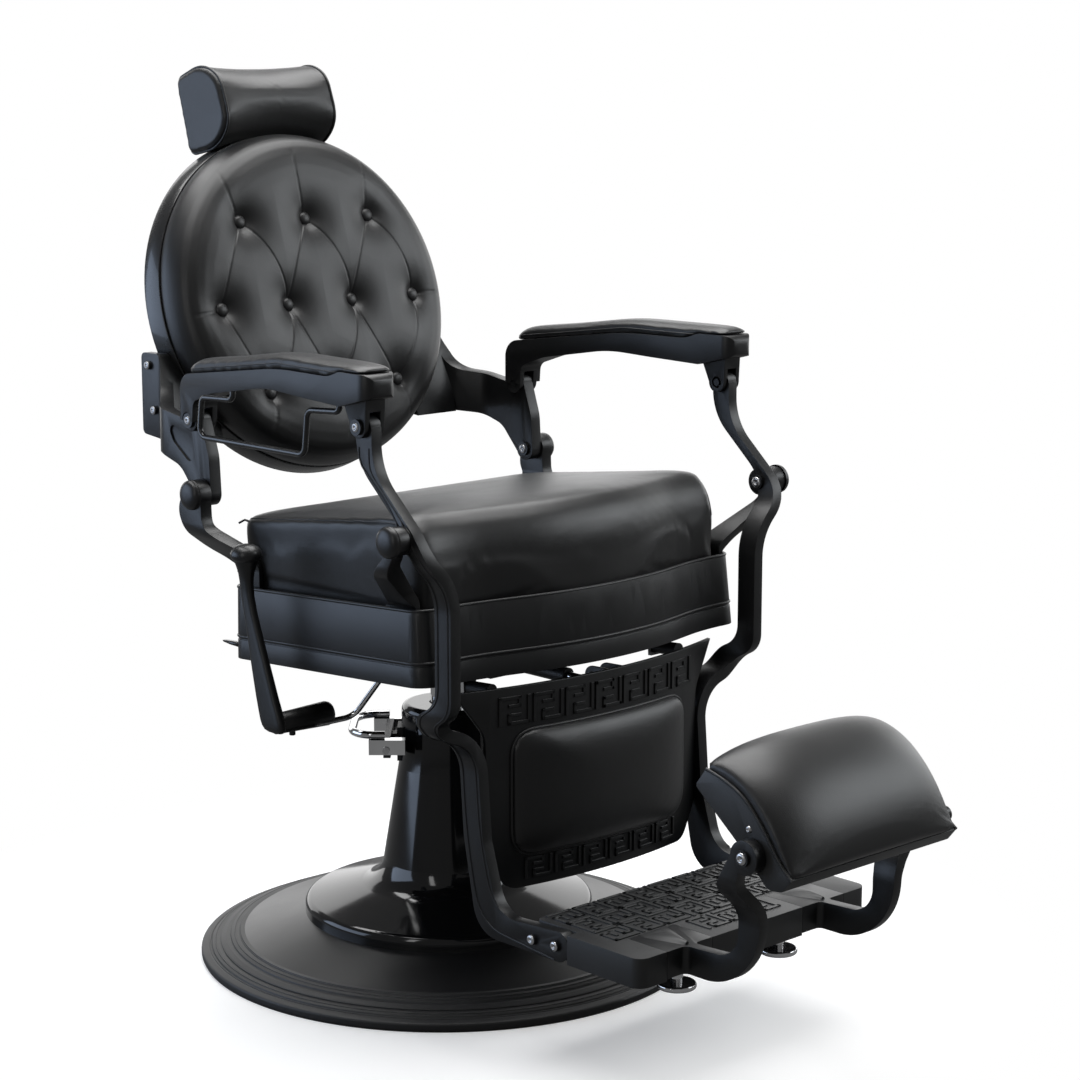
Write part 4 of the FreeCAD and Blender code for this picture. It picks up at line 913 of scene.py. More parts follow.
def crease(obj: bpy.types.Object, line: np.ndarray, depth: float, width: float,
           taper: float) -> None:
    """Press a seam into a piece.

    Args:
        obj: The piece.
        line: The seam's points in metres, on the piece.
        depth: Depth in millimetres.
        width: Half width in millimetres.
        taper: Share of the seam over which the depth fades in and out at its ends.
    """
    margin = 0.02

    def pressed(points: np.ndarray, normals: np.ndarray) -> np.ndarray:
        """Give the inward movement near the seam.

        Args:
            points: The piece's points.
            normals: Their outward directions.

        Returns:
            The movement of each point.
        """
        low, high = line.min(0) - margin, line.max(0) + margin
        near = np.flatnonzero(np.all((points > low) & (points < high), axis=1))
        moved = np.zeros_like(points)
        if len(near):
            gap, share = along_line(points[near], line)
            amount = np.exp(-(gap / (width * MM)) ** 2) * depth * MM
            amount *= smooth_step(np.minimum(share, 1 - share) / taper)
            moved[near] = -normals[near] * amount[:, None]
        return moved

    move_points(obj, pressed)


def laid(tree: BVHTree, points: np.ndarray, lift: float) -> np.ndarray:
    """Bring points onto a surface.

    Args:
        tree: The surface.
        points: Points in metres near it.
        lift: How far above the surface they end, in millimetres.

    Returns:
        The points on the surface.
    """
    ends = []
    for point in points:
        spot, normal, _, _ = tree.find_nearest(Vector(point))
        ends.append(spot + normal * lift * MM)
    return np.array([tuple(p) for p in ends])


def cast_onto(tree: BVHTree, points: np.ndarray, way: Vector, lift: float) -> np.ndarray:
    """Throw points along a direction onto a surface.

    Args:
        tree: The surface.
        points: Starting points in metres.
        way: The direction.
        lift: How far before the surface they stop, in millimetres.

    Returns:
        The points that met the surface.
    """
    ends = []
    way = Vector(way).normalized()
    for point in points:
        spot, _, _, _ = tree.ray_cast(Vector(point), way)
        if spot is not None:
            ends.append(spot - way * lift * MM)
    return np.array([tuple(p) for p in ends])


def soft_corner(before: Sequence, here: Sequence, after: Sequence, most: float) -> np.ndarray:
    """Round one corner of a flat line of (x, y, radius).

    Args:
        before: The corner before it.
        here: The corner.
        after: The corner after it.
        most: The largest share of a side that the rounding takes.

    Returns:
        The points of the rounding.
    """
    middle = np.array(here[:2], float)
    back = np.array(before[:2], float) - middle
    ahead = np.array(after[:2], float) - middle
    cut_in = min(here[2], np.linalg.norm(back) * most, np.linalg.norm(ahead) * most)
    return bezier(middle + back / np.linalg.norm(back) * cut_in, middle,
                  middle + ahead / np.linalg.norm(ahead) * cut_in, 8)


def rounded(corners: Sequence) -> np.ndarray:
    """Round the corners of a flat closed outline of (x, y, radius)."""
    after = [*corners[1:], corners[0]]
    return np.vstack([soft_corner(corners[index - 1], here, after[index], 0.49)
                      for index, here in enumerate(corners)])


def even(points: np.ndarray, gap: float, count: int = 0) -> np.ndarray:
    """Space points evenly along their line.

    Args:
        points: The line's points.
        gap: About how far apart the new points are, in the same unit.
        count: Number of new points, in place of the gap.

    Returns:
        The new points, with the line's own ends.
    """
    runs = np.linalg.norm(np.diff(points, axis=0), axis=1)
    passed = np.concatenate([[0], np.cumsum(runs)])
    wanted = np.linspace(0, passed[-1], count or max(3, int(passed[-1] / gap)))
    return np.stack([np.interp(wanted, passed, points[:, k]) for k in range(points.shape[1])], 1)


def even_loop(loop: np.ndarray, gap: float) -> np.ndarray:
    """Space points evenly round a closed line, about a gap apart."""
    return even(np.vstack([loop, loop[:1]]), gap)[:-1]


def section(obj: bpy.types.Object, point: Vector, normal: Vector) -> np.ndarray:
    """Cut a piece with a plane and give the longest outline.

    Args:
        obj: The piece.
        point: A point of the plane, in metres.
        normal: The plane's direction.

    Returns:
        The outline's points in order, without a repeated end.
    """
    work = bmesh.new()
    work.from_mesh(obj.data)
    found = bmesh.ops.bisect_plane(work, geom=work.verts[:] + work.edges[:] + work.faces[:],
                                   plane_co=point, plane_no=normal)
    follow: dict = {}
    for edge in found["geom_cut"]:
        if isinstance(edge, bmesh.types.BMEdge):
            first, second = edge.verts
            follow.setdefault(first, []).append(second)
            follow.setdefault(second, []).append(first)
    best: list = []
    left = dict.fromkeys(follow)
    while left:
        ahead, chain = [next(iter(left))], []
        while ahead:
            chain.append(ahead[0])
            del left[ahead[0]]
            ahead = [v for v in follow[ahead[0]] if v in left]
        if len(chain) > len(best):
            best = chain
    points = np.array([tuple(v.co) for v in best])
    work.free()
    return points


@dataclass
class Stuffed:
    """A leather pad, softened from its CAD form or from a lofted one."""

    chair: Chair
    node: str
    body: str
    grid: float
    limit: float
    rounds: int = 4
    pressure: float = 2.0
    ripple: float = 0.5
    fill: float = 0.7

    def build(self, hold: Callable[[np.ndarray], np.ndarray],
              form: bpy.types.Object | None = None) -> bpy.types.Object:
        """Make the soft pad.

        Args:
            hold: Gives how firmly each point is held while the pad swells.
            form: A closed piece to start from; without it the CAD pad is copied.

        Returns:
            The finished pad.
        """
        obj = form or self.chair.copy(self.node, self.node + "_soft")
        Softening.skin(obj, self.grid, self.rounds)
        Softening.blow(obj, hold, self.pressure, self.limit)
        Softening.refine(obj)
        if self.ripple:
            move_points(obj, self.folds)
        wear_finish(obj, Slot.LEATHER)
        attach(obj, self.body)
        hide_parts(self.node)
        return obj

    def folds(self, points: np.ndarray, normals: np.ndarray) -> np.ndarray:
        """Give the leather slow shallow waves."""
        waves = np.array([noise.noise(Vector(p) * 11.0) for p in points])
        return normals * (waves * self.ripple * MM)[:, None]


@dataclass
class BoxedCushion(Stuffed):
    """The seat's boxed cushion, whose leather folds more at its rolled front."""

    def folds(self, points: np.ndarray, normals: np.ndarray) -> np.ndarray:
        """Give the leather its slow waves and the soft dents of the rolled front.

        Args:
            points: The cushion's points.
            normals: Their outward directions.

        Returns:
            The movement of each point.
        """
        waves = np.array([noise.noise(Vector(p) * 7.0) + 0.5 * noise.noise(Vector(p) * 17.0)
                          for p in points])
        front = smooth_step((-0.20 - points[:, 1]) / 0.08)
        amount = self.ripple * MM * waves * (0.35 + 0.9 * front)
        return normals * amount[:, None]


@dataclass(frozen=True)
class Band:
    """The outline of the skirt band, seen from above in the tilted seat."""

    half: float = 286.0
    shoulder: float = 212.0
    front: float = -194.0
    apex: float = -258.0
    rear: float = 196.0
    corner: float = 24.0

    def outline(self, inset: float) -> np.ndarray:
        """Give the closed outline.

        Args:
            inset: How far inside the band's face it runs.

        Returns:
            The outline's points in flat millimetres.
        """
        half, shoulder = self.half - inset, self.shoulder - inset
        front, apex, rear = self.front + inset, self.apex + inset, self.rear - inset
        corner = self.corner - inset
        return self.arcs([(half, rear, corner), (-half, rear, corner), (-half, front, corner),
                          (-shoulder, front, 280), (0, apex, 480), (shoulder, front, 280),
                          (half, front, corner)])

    def path(self, inset: float, height: float) -> np.ndarray:
        """Give a closed line round the band, in metres.

        Args:
            inset: How far inside the outline it runs.
            height: Its height in the tilted seat.

        Returns:
            The points in order, without a repeated end.
        """
        flat = even_loop(self.outline(inset), 6)
        return SEAT_PLANE.points(np.hstack([flat, np.full((len(flat), 1), height)]))

    @staticmethod
    def arcs(corners: Sequence) -> np.ndarray:
        """Round each corner with a true arc.

        Args:
            corners: Corners of (x, y, radius) in order.

        Returns:
            The closed outline's points.
        """
        ends = []
        count = len(corners)
        for index, (x, y, radius) in enumerate(corners):
            here = np.array((x, y), float)
            before = np.array(corners[index - 1][:2], float) - here
            after = np.array(corners[(index + 1) % count][:2], float) - here
            before, after = before / np.linalg.norm(before), after / np.linalg.norm(after)
            half_angle = math.acos(float(np.clip(before @ after, -1, 1))) / 2
            run = radius / math.tan(half_angle)
            middle = here + (before + after) / np.linalg.norm(before + after) * (
                radius / math.sin(half_angle))
            start, end = here + before * run - middle, here + after * run - middle
            first = math.atan2(start[1], start[0])
            sweep = math.atan2(end[1], end[0]) - first
            sweep = (sweep + math.pi) % math.tau - math.pi
            for step in np.linspace(0, 1, 14):
                angle = first + sweep * step
                ends.append(middle + radius * np.array((math.cos(angle), math.sin(angle))))
        return np.array(ends)


@dataclass
class Seat:
    """The seat: boxed leather cushion with its seam, and the pressed skirt band.

    The cushion is held below held_top, in metres. The rings of the band's rear tab give
    depth, half width and half height.
    """

    chair: Chair
    seam_height: float = 204.0
    seam_half: float = 274.5
    seam_rear: float = 190.0
    seam_front: float = -150.0
    seam_depth: float = 1.6
    seam_width: float = 3.2
    held_top: float = 0.575
    roll: float = 56.0
    drop: float = 62.0
    zip_place: tuple[float, float, float] = (-274.0, 100.0, 634.0)
    tab_place: tuple[float, float] = (-280.0, 463.0)
    tab: tuple = ((94, 5, 2.6), (120, 4.5, 2.2), (138, 3, 1.2), (142, 1.6, 0.6))

    def build(self) -> None:
        """Build the cushion, its seam and zip, and dress the band."""
        cushion = BoxedCushion(self.chair, "seat_cushion", "seat", grid=6.0, limit=1.3,
                               rounds=5, pressure=3.0, ripple=0.8, fill=0.6).build(self.held)
        self.seam(cushion)
        self.zip_tail(cushion)
        self.band()
        self.chair.finish(Slot.FRAME_STEEL, "seat_frame", "lock_cylinder")
        self.chair.finish(Slot.WOOD, "seat_board")
        self.chair.finish(Slot.BRIGHT, "stop_bars")
        self.chair.finish(Slot.RUBBER, "stop_buffers")
        log.info("seat: cushion, seam, zip and band")

    def held(self, points: np.ndarray) -> np.ndarray:
        """Hold the underside of the cushion and let the rest swell."""
        return smooth_step((self.held_top - points[:, 2]) / 0.03)

    def seam(self, cushion: bpy.types.Object) -> None:
        """Sew the seam round the top edge of the boxed sides and over the rolled front.

        Args:
            cushion: The finished cushion.
        """
        half, rear, front = self.seam_half, self.seam_rear, self.seam_front
        side = [(half, y, self.seam_height) for y in np.linspace(rear - 40, front, 30)]
        for step in range(1, 9):
            angle = math.radians(step * 10)
            side.append((half, front - self.roll * math.sin(angle),
                         self.seam_height - self.drop * (1 - math.cos(angle))))
        back = [(half - 2, rear - 12, self.seam_height), (half - 14, rear, self.seam_height)]
        line = side[::-1] + back
        line += [(-x, y, z) for x, y, z in line[::-1]]
        flat = even(np.array(line, float), 6)
        path = laid(surface(cushion), SEAT_PLANE.points(flat), 0.0)
        crease(cushion, path, self.seam_depth, self.seam_width, taper=0.02)
        path = laid(surface(cushion), path, 0.2)
        tube("seat_seam", path, 1.0, Slot.LEATHER, "seat", sides=6, spacing=4)

    def zip_tail(self, cushion: bpy.types.Object) -> None:
        """Hang the zip's short tail from the side of the cushion.

        Args:
            cushion: The finished cushion.
        """
        start = laid(surface(cushion), np.array([self.zip_place]) * MM, -1.0)[0]
        tail = np.array([start, start + np.array((-3, 5, 2)) * MM,
                         start + np.array((-7, 13, -3)) * MM])
        tube("zip_tail", tail, 1.6, Slot.BLACK_STEEL, "seat", sides=6, spacing=3)

    def band(self) -> None:
        """Round the band's edges and lay the rolled lip along its top."""
        cast = self.chair.cast("seat_band", Slot.CASTING, edge=1.2)
        band = Band()
        lip = band.path(inset=0.8, height=96.5)
        bead = laid(surface(cast), band.path(inset=-3.5, height=30.5), -0.7)
        for name, path, radius in (("band_lip", lip, 2.3), ("band_bead", bead, 2.2)):
            tube(name, path, radius, Slot.CASTING, "seat", closed=True, sides=10, spacing=5)
        x, z = self.tab_place
        tab = loft("rear_tab", [[mm(x + across * wide, y, z + up * high) for across, up in (
            (1, -1), (1, 1), (-1, 1), (-1, -1))] for y, wide, high in self.tab])
        wear_finish(tab, Slot.BLACK_STEEL)
        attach(tab, "seat")


@dataclass
class Back:
    """The round tufted back in its pressed shell.

    The profile gives radius and height above the shell. The leather starts to give at the
    height soft_from.
    """

    chair: Chair
    pitch: float = 116.0
    row: float = 122.0
    drop: float = 10.0
    dimple: float = 8.0
    dimple_reach: float = 13.0
    valley: float = 10.0
    valley_reach: float = 34.0
    pleat: float = 1.6
    pleat_width: float = 1.15
    swell: float = 0.8
    swell_edge: float = 215.0
    soft_from: float = 62.0
    button_height: float = 69.5
    button_size: float = 1.15
    sectors: int = 528
    edge_rows: int = 9
    crown_rings: int = 168
    profile: tuple = (
        (239, 5), (240, 27), (240.6, 31), (242.2, 34), (242.6, 38), (242, 46), (239.6, 54),
        (236.5, 61), (232.5, 68), (226, 75.5), (216, 81), (203, 84.8), (188, 87), (170, 88.2),
        (140, 88.8), (100, 89), (50, 89), (0.5, 89))

    def build(self) -> None:
        """Build the cushion with its pleats, the buttons and the shell."""
        self.cushion()
        self.buttons()
        self.chair.cast("back_shell", Slot.BLACK_STEEL, edge=1.0, steps=2)
        self.chair.finish(Slot.REAR_COVER, "back_cover")
        for side in ("left", "right"):
            self.chair.cast(f"back_arm_{side}", Slot.CASTING, edge=2.6)
        self.chair.finish(Slot.CASTING, "back_bolts", "arm_rear_bolts")
        self.chair.finish(Slot.FRAME_STEEL, "headrest_socket")
        self.chair.finish(Slot.PLASTIC, "headrest_knob")
        log.info("back: tufted cushion, buttons, shell and arms")

    def places(self) -> list[tuple[float, float]]:
        """Give the buttons' places: rows of three, four and three."""
        return [((index - (count - 1) / 2) * self.pitch, row * self.row - self.drop)
                for row, count in ((1, 3), (0, 4), (-1, 3)) for index in range(count)]

    def pleats(self) -> list[tuple[np.ndarray, bool]]:
        """Give the pleat lines between the buttons and out to the edge.

        Returns:
            Lines in flat millimetres, each with whether it runs out to the edge.
        """
        spots = self.places()
        upper, middle, lower = spots[:3], spots[3:7], spots[7:]
        lines = []
        for index in range(3):
            for other, bow in ((middle[index], -9), (middle[index + 1], 11)):
                lines.append((self.bowed(upper[index], other, bow), False))
                lines.append((self.bowed(lower[index], other, -bow), False))
            x = upper[index][0]
            lines.append((self.bowed(upper[index], (x * 1.12 - 6, 214 - abs(x) * 0.18), 7), True))
            lines.append((self.bowed(lower[index], (x * 1.1, -216 + abs(x) * 0.2), 5), True))
        for end, sign in ((middle[0], -1), (middle[3], 1)):
            lines.append((self.bowed(end, (sign * 229, -14), 3), True))
        return lines

    @staticmethod
    def bowed(first: Sequence, second: Sequence, bow: float) -> np.ndarray:
        """Give a line between two spots that bends sideways.

        Args:
            first: Where it starts.
            second: Where it ends.
            bow: How far its middle moves to the left of the way.

        Returns:
            The line's points.
        """
        first, second = np.array(first, float), np.array(second, float)
        way = second - first
        side = np.array((-way[1], way[0])) / np.linalg.norm(way)
        return bezier(first, (first + second) / 2 + side * bow * 2, second, 26)

    def cushion(self) -> None:
        """Make the dome ring by ring, then sink its tufts and pleats."""
        profile = np.array(self.profile, float)
        rings, top = even(profile[:self.edge_rows], 3.0), profile[self.edge_rows - 1:]
        radii = np.linspace(top[0, 0], top[-1, 0], self.crown_rings)[1:]
        crown = np.stack([radii, np.interp(radii, top[::-1, 0], top[::-1, 1])], 1)
        crown[:, 1] = self.rubbed(crown[:, 1], 5)
        rings = np.vstack([rings, crown])
        turns = np.arange(self.sectors) * math.tau / self.sectors
        flat = np.empty((len(rings), self.sectors, 3))
        flat[:, :, 0] = rings[:, :1] * np.cos(turns)
        flat[:, :, 1] = rings[:, :1] * np.sin(turns)
        flat[:, :, 2] = rings[:, 1:]
        flat = flat.reshape(-1, 3)
        flat[:, 2] += self.sunk(flat)
        faces, count, last = [], self.sectors, len(flat) - self.sectors
        for low in range(0, last, count):
            faces += ring_faces(low, low + count, count)
        faces += [tuple(range(last, last + count)), tuple(range(count))[::-1]]
        obj = mesh_of("back_cushion_soft", BACK_PLANE.points(flat), faces)
        wear_finish(obj, Slot.LEATHER)
        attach(obj, "back")
        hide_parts("back_cushion")

    @staticmethod
    def rubbed(values: np.ndarray, rounds: int) -> np.ndarray:
        """Smooth a row of heights, keeping its ends.

        Args:
            values: The heights.
            rounds: How often they are smoothed.

        Returns:
            The smoother heights.
        """
        values = values.copy()
        for _ in range(rounds):
            values[1:-1] = (values[:-2] + 2 * values[1:-1] + values[2:]) / 4
        return values

    def sunk(self, flat: np.ndarray) -> np.ndarray:
        """Give the depth of the tufts and pleats at flat points.

        Args:
            flat: Points in flat millimetres.

        Returns:
            The change of height in millimetres, below zero where the leather is pulled in.
        """
        spot = flat[:, :2]
        radius = np.linalg.norm(spot, axis=1)
        top = smooth_step((flat[:, 2] - self.soft_from) / 18)
        change = np.zeros(len(flat))
        nearest = np.full(len(flat), FAR)
        for place in self.places():
            gap = np.linalg.norm(spot - np.array(place), axis=1)
            nearest = np.minimum(nearest, gap)
        change -= self.dimple * np.exp(-(nearest / self.dimple_reach) ** 2)
        change -= self.valley * np.exp(-(nearest / self.valley_reach) ** 2)
        closest = np.full(len(flat), FAR)
        for line, outward in self.pleats():
            gap, share = along_line(spot, line)
            closest = np.minimum(closest, gap)
            ends = 1 - share if outward else np.abs(share - 0.5) * 2
            depth = self.pleat * (0.55 + 0.45 * ends)
            if outward:
                depth *= smooth_step((1.04 - share) / 0.2)
            change -= depth * np.exp(-np.abs(gap / self.pleat_width) ** 1.4)
            change -= depth * 0.2 * np.exp(-(gap / (self.pleat_width * 5)) ** 2)
        swell = 1 - np.exp(-(closest / 24) ** 2)
        swell = self.swell * swell * smooth_step((self.swell_edge - radius) / 60)
        return (change + swell) * top

    def buttons(self) -> None:
        """Set the leather-covered buttons into the tufts."""
        piece = lathe("button", [(0, -3), (8.6, -3), (9.6, -0.5), (9.4, 2.2), (7.9, 4.9),
                                 (5, 6.6), (0, 7.3)], 28)
        lean = BACK_PLANE.matrix().to_3x3()
        facing = (lean @ Vector((0, 0, 1))).normalized()
        up = (lean @ Vector((0, 1, 0))).normalized()
        spots = np.array([(x, y, self.button_height) for x, y in self.places()])
        places = [(point, facing, up, self.button_size) for point in BACK_PLANE.points(spots)]
        obj = spread("back_buttons_soft", piece, places, Slot.LEATHER, "back")
        bpy.data.objects.remove(piece)
        obj.data.shade_smooth()
        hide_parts("back_buttons")


@dataclass
class Headrest:
    """The headrest: a D-shaped roll with piped flat ends on two posts.

    The ends are held from held_from outward, in metres.
    """

    chair: Chair
    half: float = 104.0
    up: float = 289.5
    height: float = 125.0
    front: float = 72.0
    rear: float = -32.0
    waist: float = 13.0
    saddle: float = 6.0
    piping_inset: float = 7.5
    held_from: float = 0.098

    def form(self) -> bpy.types.Object:
        """Loft the roll across the chair: a D-shaped section, a little drawn in at its waist.

        Returns:
            The closed form.
        """
        rings = []
        for share in (-1, -0.985, -0.95, *np.linspace(-0.88, 0.88, 15), 0.95, 0.985, 1):
            bow = 1 - share * share
            inset = {1.0: 7.0, 0.985: 3.0, 0.95: 0.8}.get(abs(share), 0.0)
            low = self.up - self.height / 2 + self.waist * bow + inset
            high = self.up + self.height / 2 - self.saddle * bow - inset
            front, rear = self.front - inset - 3 * bow, self.rear + inset * 0.4
            loop = rounded([(low + 4, rear, 8), (low, front * 0.45, 26), (low + 26, front, 30),
                            (high - 24, front - 6, 28), (high, front * 0.4, 26),
                            (high - 5, rear, 8)])
            across = np.full((len(loop), 1), share * self.half)
            rings.append(BACK_PLANE.points(np.hstack([across, loop])))
        return loft("headrest_pad_soft", rings)

    def build(self) -> None:
        """Build the pad and its end piping."""
        obj = Stuffed(self.chair, "headrest_pad", "headrest", grid=4.0, limit=2.0, rounds=3,
                      pressure=3.0, ripple=0.0).build(self.held, self.form())
        for side, sign in (("right", -1), ("left", 1)):
            level = Vector((sign * (self.half - self.piping_inset) * MM, 0, 0))
            loop = even_loop(section(obj, level, Vector((1, 0, 0))), 5 * MM)
            tube(f"headrest_piping_{side}", laid(surface(obj), loop, 0.5), 2.0, Slot.LEATHER,
                 "headrest", closed=True, spacing=4)
        self.chair.finish(Slot.BLACK_STEEL, "headrest_posts")
        log.info("headrest: pad, piping and posts")

    def held(self, points: np.ndarray) -> np.ndarray:
        """Hold the flat ends of the roll."""
        return smooth_step((np.abs(points[:, 0]) - self.held_from) / 0.005)


@dataclass
class Arms:
    """The arm rests: cast rails, leather pads with a seam, and the towel bar."""

    chair: Chair
    held_height: float = 4.0
    seam_height: float = 6.5
    rail_top: tuple = ((-253.0, -60.0, 180.0), (857.0, 857.0, 826.0))

    def build(self) -> None:
        """Build both arm rests."""
        for side in ("left", "right"):
            node, body = f"arm_pad_{side}", f"arm_{side}"
            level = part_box(node)[0].z + self.held_height * MM
            obj = Stuffed(self.chair, node, body, grid=3.0, limit=0.6, pressure=1.5,
                          ripple=0.2).build(
                lambda points, level=level: smooth_step((level - points[:, 2]) / 0.003 + 0.5))
            tube(f"arm_seam_{side}", even(self.seam(obj), 5 * MM), 0.9, Slot.LEATHER, body,
                 closed=True, sides=6, spacing=5)
            self.chair.cast(f"arm_rest_{side}", Slot.CASTING, edge=3.0)
        self.chair.finish(Slot.BLACK_STEEL, "towel_bar")
        self.chair.finish(Slot.CASTING, "arm_front_bolts")
        log.info("arm rests: rails, pads, seams and towel bar")

    def seam(self, pad: bpy.types.Object) -> np.ndarray:
        """Give the line round the pad that stays level with the top of the rail.

        Args:
            pad: The finished pad.

        Returns:
            The closed line's points, without a repeated end.
        """
        twin = link("seam_level", pad.data.copy())

        def level(points: np.ndarray) -> np.ndarray:
            """Give the height of the rail's top under points."""
            return np.interp(points[:, 1] / MM, *self.rail_top) * MM

        move_points(twin, lambda points, normals: np.stack(
            [np.zeros(len(points)), np.zeros(len(points)), -level(points)], 1))
        loop = section(twin, Vector((0, 0, self.seam_height * MM)), Vector((0, 0, 1)))
        loop[:, 2] += level(loop)
        bpy.data.objects.remove(twin)
        return loop


@dataclass
class Linkage:
    """The cast side frames, brackets and caps of the recline linkage, and its lever.

    The handle's rows give height, middle, half depth, half thickness and squareness. The
    corners of the side frame's edges give depth, height and radius in the side view. The
    beads are thrown onto the frame from a plane that is clear of it.
    """

    chair: Chair
    bead: float = 1.5
    margin: float = 5.5
    clear: float = 480.0
    pivots: tuple = ((322.6, 148.0, 667.0), (350.6, -294.0, 666.0))
    lever_x: float = -330.0
    knob_place: tuple[float, float] = (21.0, 601.0)
    lever_foot: tuple[float, float, float] = (-332.0, -34.0, 387.0)
    set_screw: tuple[float, float, float] = (-302.0, -34.0, 372.5)
    handle_sides: int = 32
    edges: tuple = (
        ("front", ((-237, 772, 1), (-237, 744, 75), (-330, 660, 75), (-330, 441, 33),
                   (-291, 421, 33), (-304, 262, 60), (-332, 170, 42), (-440, 178, 1))),
        ("rear", ((-207, 772, 1), (-207, 754, 75), (-300, 670, 75), (-300, 452, 33),
                  (-255, 429, 33), (-268, 262, 90), (-293, 152, 44), (-430, 139, 1))))
    handle: tuple = (
        (602, 21, 16.6, 16.6, 2.0), (597, 21, 16.4, 16.0, 2.0), (590, 21.3, 14.4, 13.2, 2.0),
        (581, 21.8, 12.0, 9.6, 2.1), (569, 21.5, 10.8, 7.4, 2.3), (550, 19.5, 10.6, 6.6, 2.5),
        (528, 14, 11.0, 6.4, 2.7), (507, 7.5, 12.2, 6.4, 2.9), (486, 1.5, 14.2, 6.5, 3.0),
        (464, -5, 16.4, 6.7, 3.2), (443, -11.5, 18.0, 7.0, 3.4), (422, -18, 19.6, 7.2, 3.6),
        (402, -25, 21.2, 7.4, 3.8), (390, -29, 21.8, 7.4, 3.8), (383, -31.5, 21.0, 7.2, 3.6),
        (378.5, -33, 18.4, 6.6, 3.2), (376.2, -34, 14.0, 5.0, 2.8))

    def build(self) -> None:
        """Round the castings and lay the beads along the side frames."""
        for side, sign in (("left", 1), ("right", -1)):
            self.chair.cast(f"side_frame_{side}", Slot.CASTING, edge=2.6)
            for end in ("rear", "front"):
                self.chair.cast(f"{end}_bracket_{side}", Slot.CASTING, edge=2.6)
            self.beads(side, sign)
        self.chair.finish(Slot.CASTING, "pivot_bolts")
        self.chair.finish(Slot.BRIGHT, "lock_rod", "release_rod")
        self.caps()
        self.lever()
        log.info("linkage: side frames with beads, brackets, caps and recline lever")

    def caps(self) -> None:
        """Set a smooth dome on each pivot."""
        dome = lathe("dome", [(0, -0.4), (20, -0.4), (20, 2.4), (19.4, 5), (17.6, 7.4),
                              (14.4, 9.3), (10, 10.5), (5, 11), (0, 11.1)], 40)
        dome.data.shade_smooth()
        places = [(mm(sign * x, y, z), Vector((sign, 0, 0)), Vector((0, 0, 1)), 1.0)
                  for sign in (1, -1) for x, y, z in self.pivots]
        caps = spread("pivot_cap_domes", dome, places, Slot.PLASTIC, "seat")
        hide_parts("pivot_caps")
        bpy.data.objects.remove(dome)

    def lever(self) -> None:
        """Cast the recline lever: a waisted handle under a mushroom knob, with a round foot."""
        turns = np.linspace(0, math.tau, self.handle_sides + 1)[:-1]
        rings = []
        for z, y, deep, thick, square in self.handle:
            along, across = (np.sign(wave) * np.abs(wave) ** (2 / square) * half
                             for wave, half in ((np.cos(turns), deep), (np.sin(turns), thick)))
            rings.append(np.stack([self.lever_x + across, y + along,
                                   np.full(self.handle_sides, z)], 1) * MM)
        handle = loft("recline_handle_cast", rings)
        knob = lathe("recline_knob_dome", [(0, -5), (14, -5), (18.4, -2.6), (20.6, 1.2),
                                           (21, 4.6), (19.8, 9), (16.6, 13), (11.4, 16),
                                           (5.6, 17.6), (0, 18)], 40)
        knob.data.transform(Matrix.Translation(mm(self.lever_x, *self.knob_place)))
        foot = lathe("recline_lever_foot", [(0, 0), (12, 0), (13.6, 2), (16.5, 86), (15.2, 90.4),
                                            (12, 92), (0, 92)], 32)
        foot.data.transform(Matrix.Translation(mm(*self.lever_foot))
                            @ Matrix.Rotation(math.pi / 2, 4, "Y"))
        screw = lathe("recline_set_screw", [(0, -5), (3.6, -5), (4.2, -4.2), (4.2, 2), (0, 2)], 16)
        screw.data.transform(Matrix.Translation(mm(*self.set_screw)))
        for obj, slot in ((handle, Slot.CASTING), (knob, Slot.PLASTIC), (foot, Slot.CASTING),
                          (screw, Slot.CASTING)):
            self.chair.shade(obj, 50)
            wear_finish(obj, slot)
            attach(obj, "recline_lever")
        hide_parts("recline_handle")
        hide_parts("recline_knob")

    def beads(self, side: str, sign: int) -> None:
        """Lay two fine beads along the outer face of a side frame, near its edges.

        Args:
            side: The side's name.
            sign: 1 for the sitter's left, -1 for the right.
        """
        bare = self.chair.copy(f"side_frame_{side}", "sounding")
        tree = surface(bare)
        bpy.data.objects.remove(bare)
        for (name, corners), shift in zip(self.edges, (self.margin, -self.margin)):
            line = np.array(corners, float)[:, :2]
            bends = [soft_corner(*three, 0.48)
                     for three in zip(corners, corners[1:], corners[2:])]
            line = even(np.vstack([line[:1], *bends, line[-1:]]), 6)
            start = np.hstack([np.full((len(line), 1), sign * self.clear), line]) * MM
            start[:, 1] += shift * MM
            path = cast_onto(tree, start, Vector((-sign, 0, 0)), -0.3)
            tube(f"frame_bead_{name}_{side}", path, self.bead, Slot.CASTING, "legs",
                 sides=6, spacing=6)


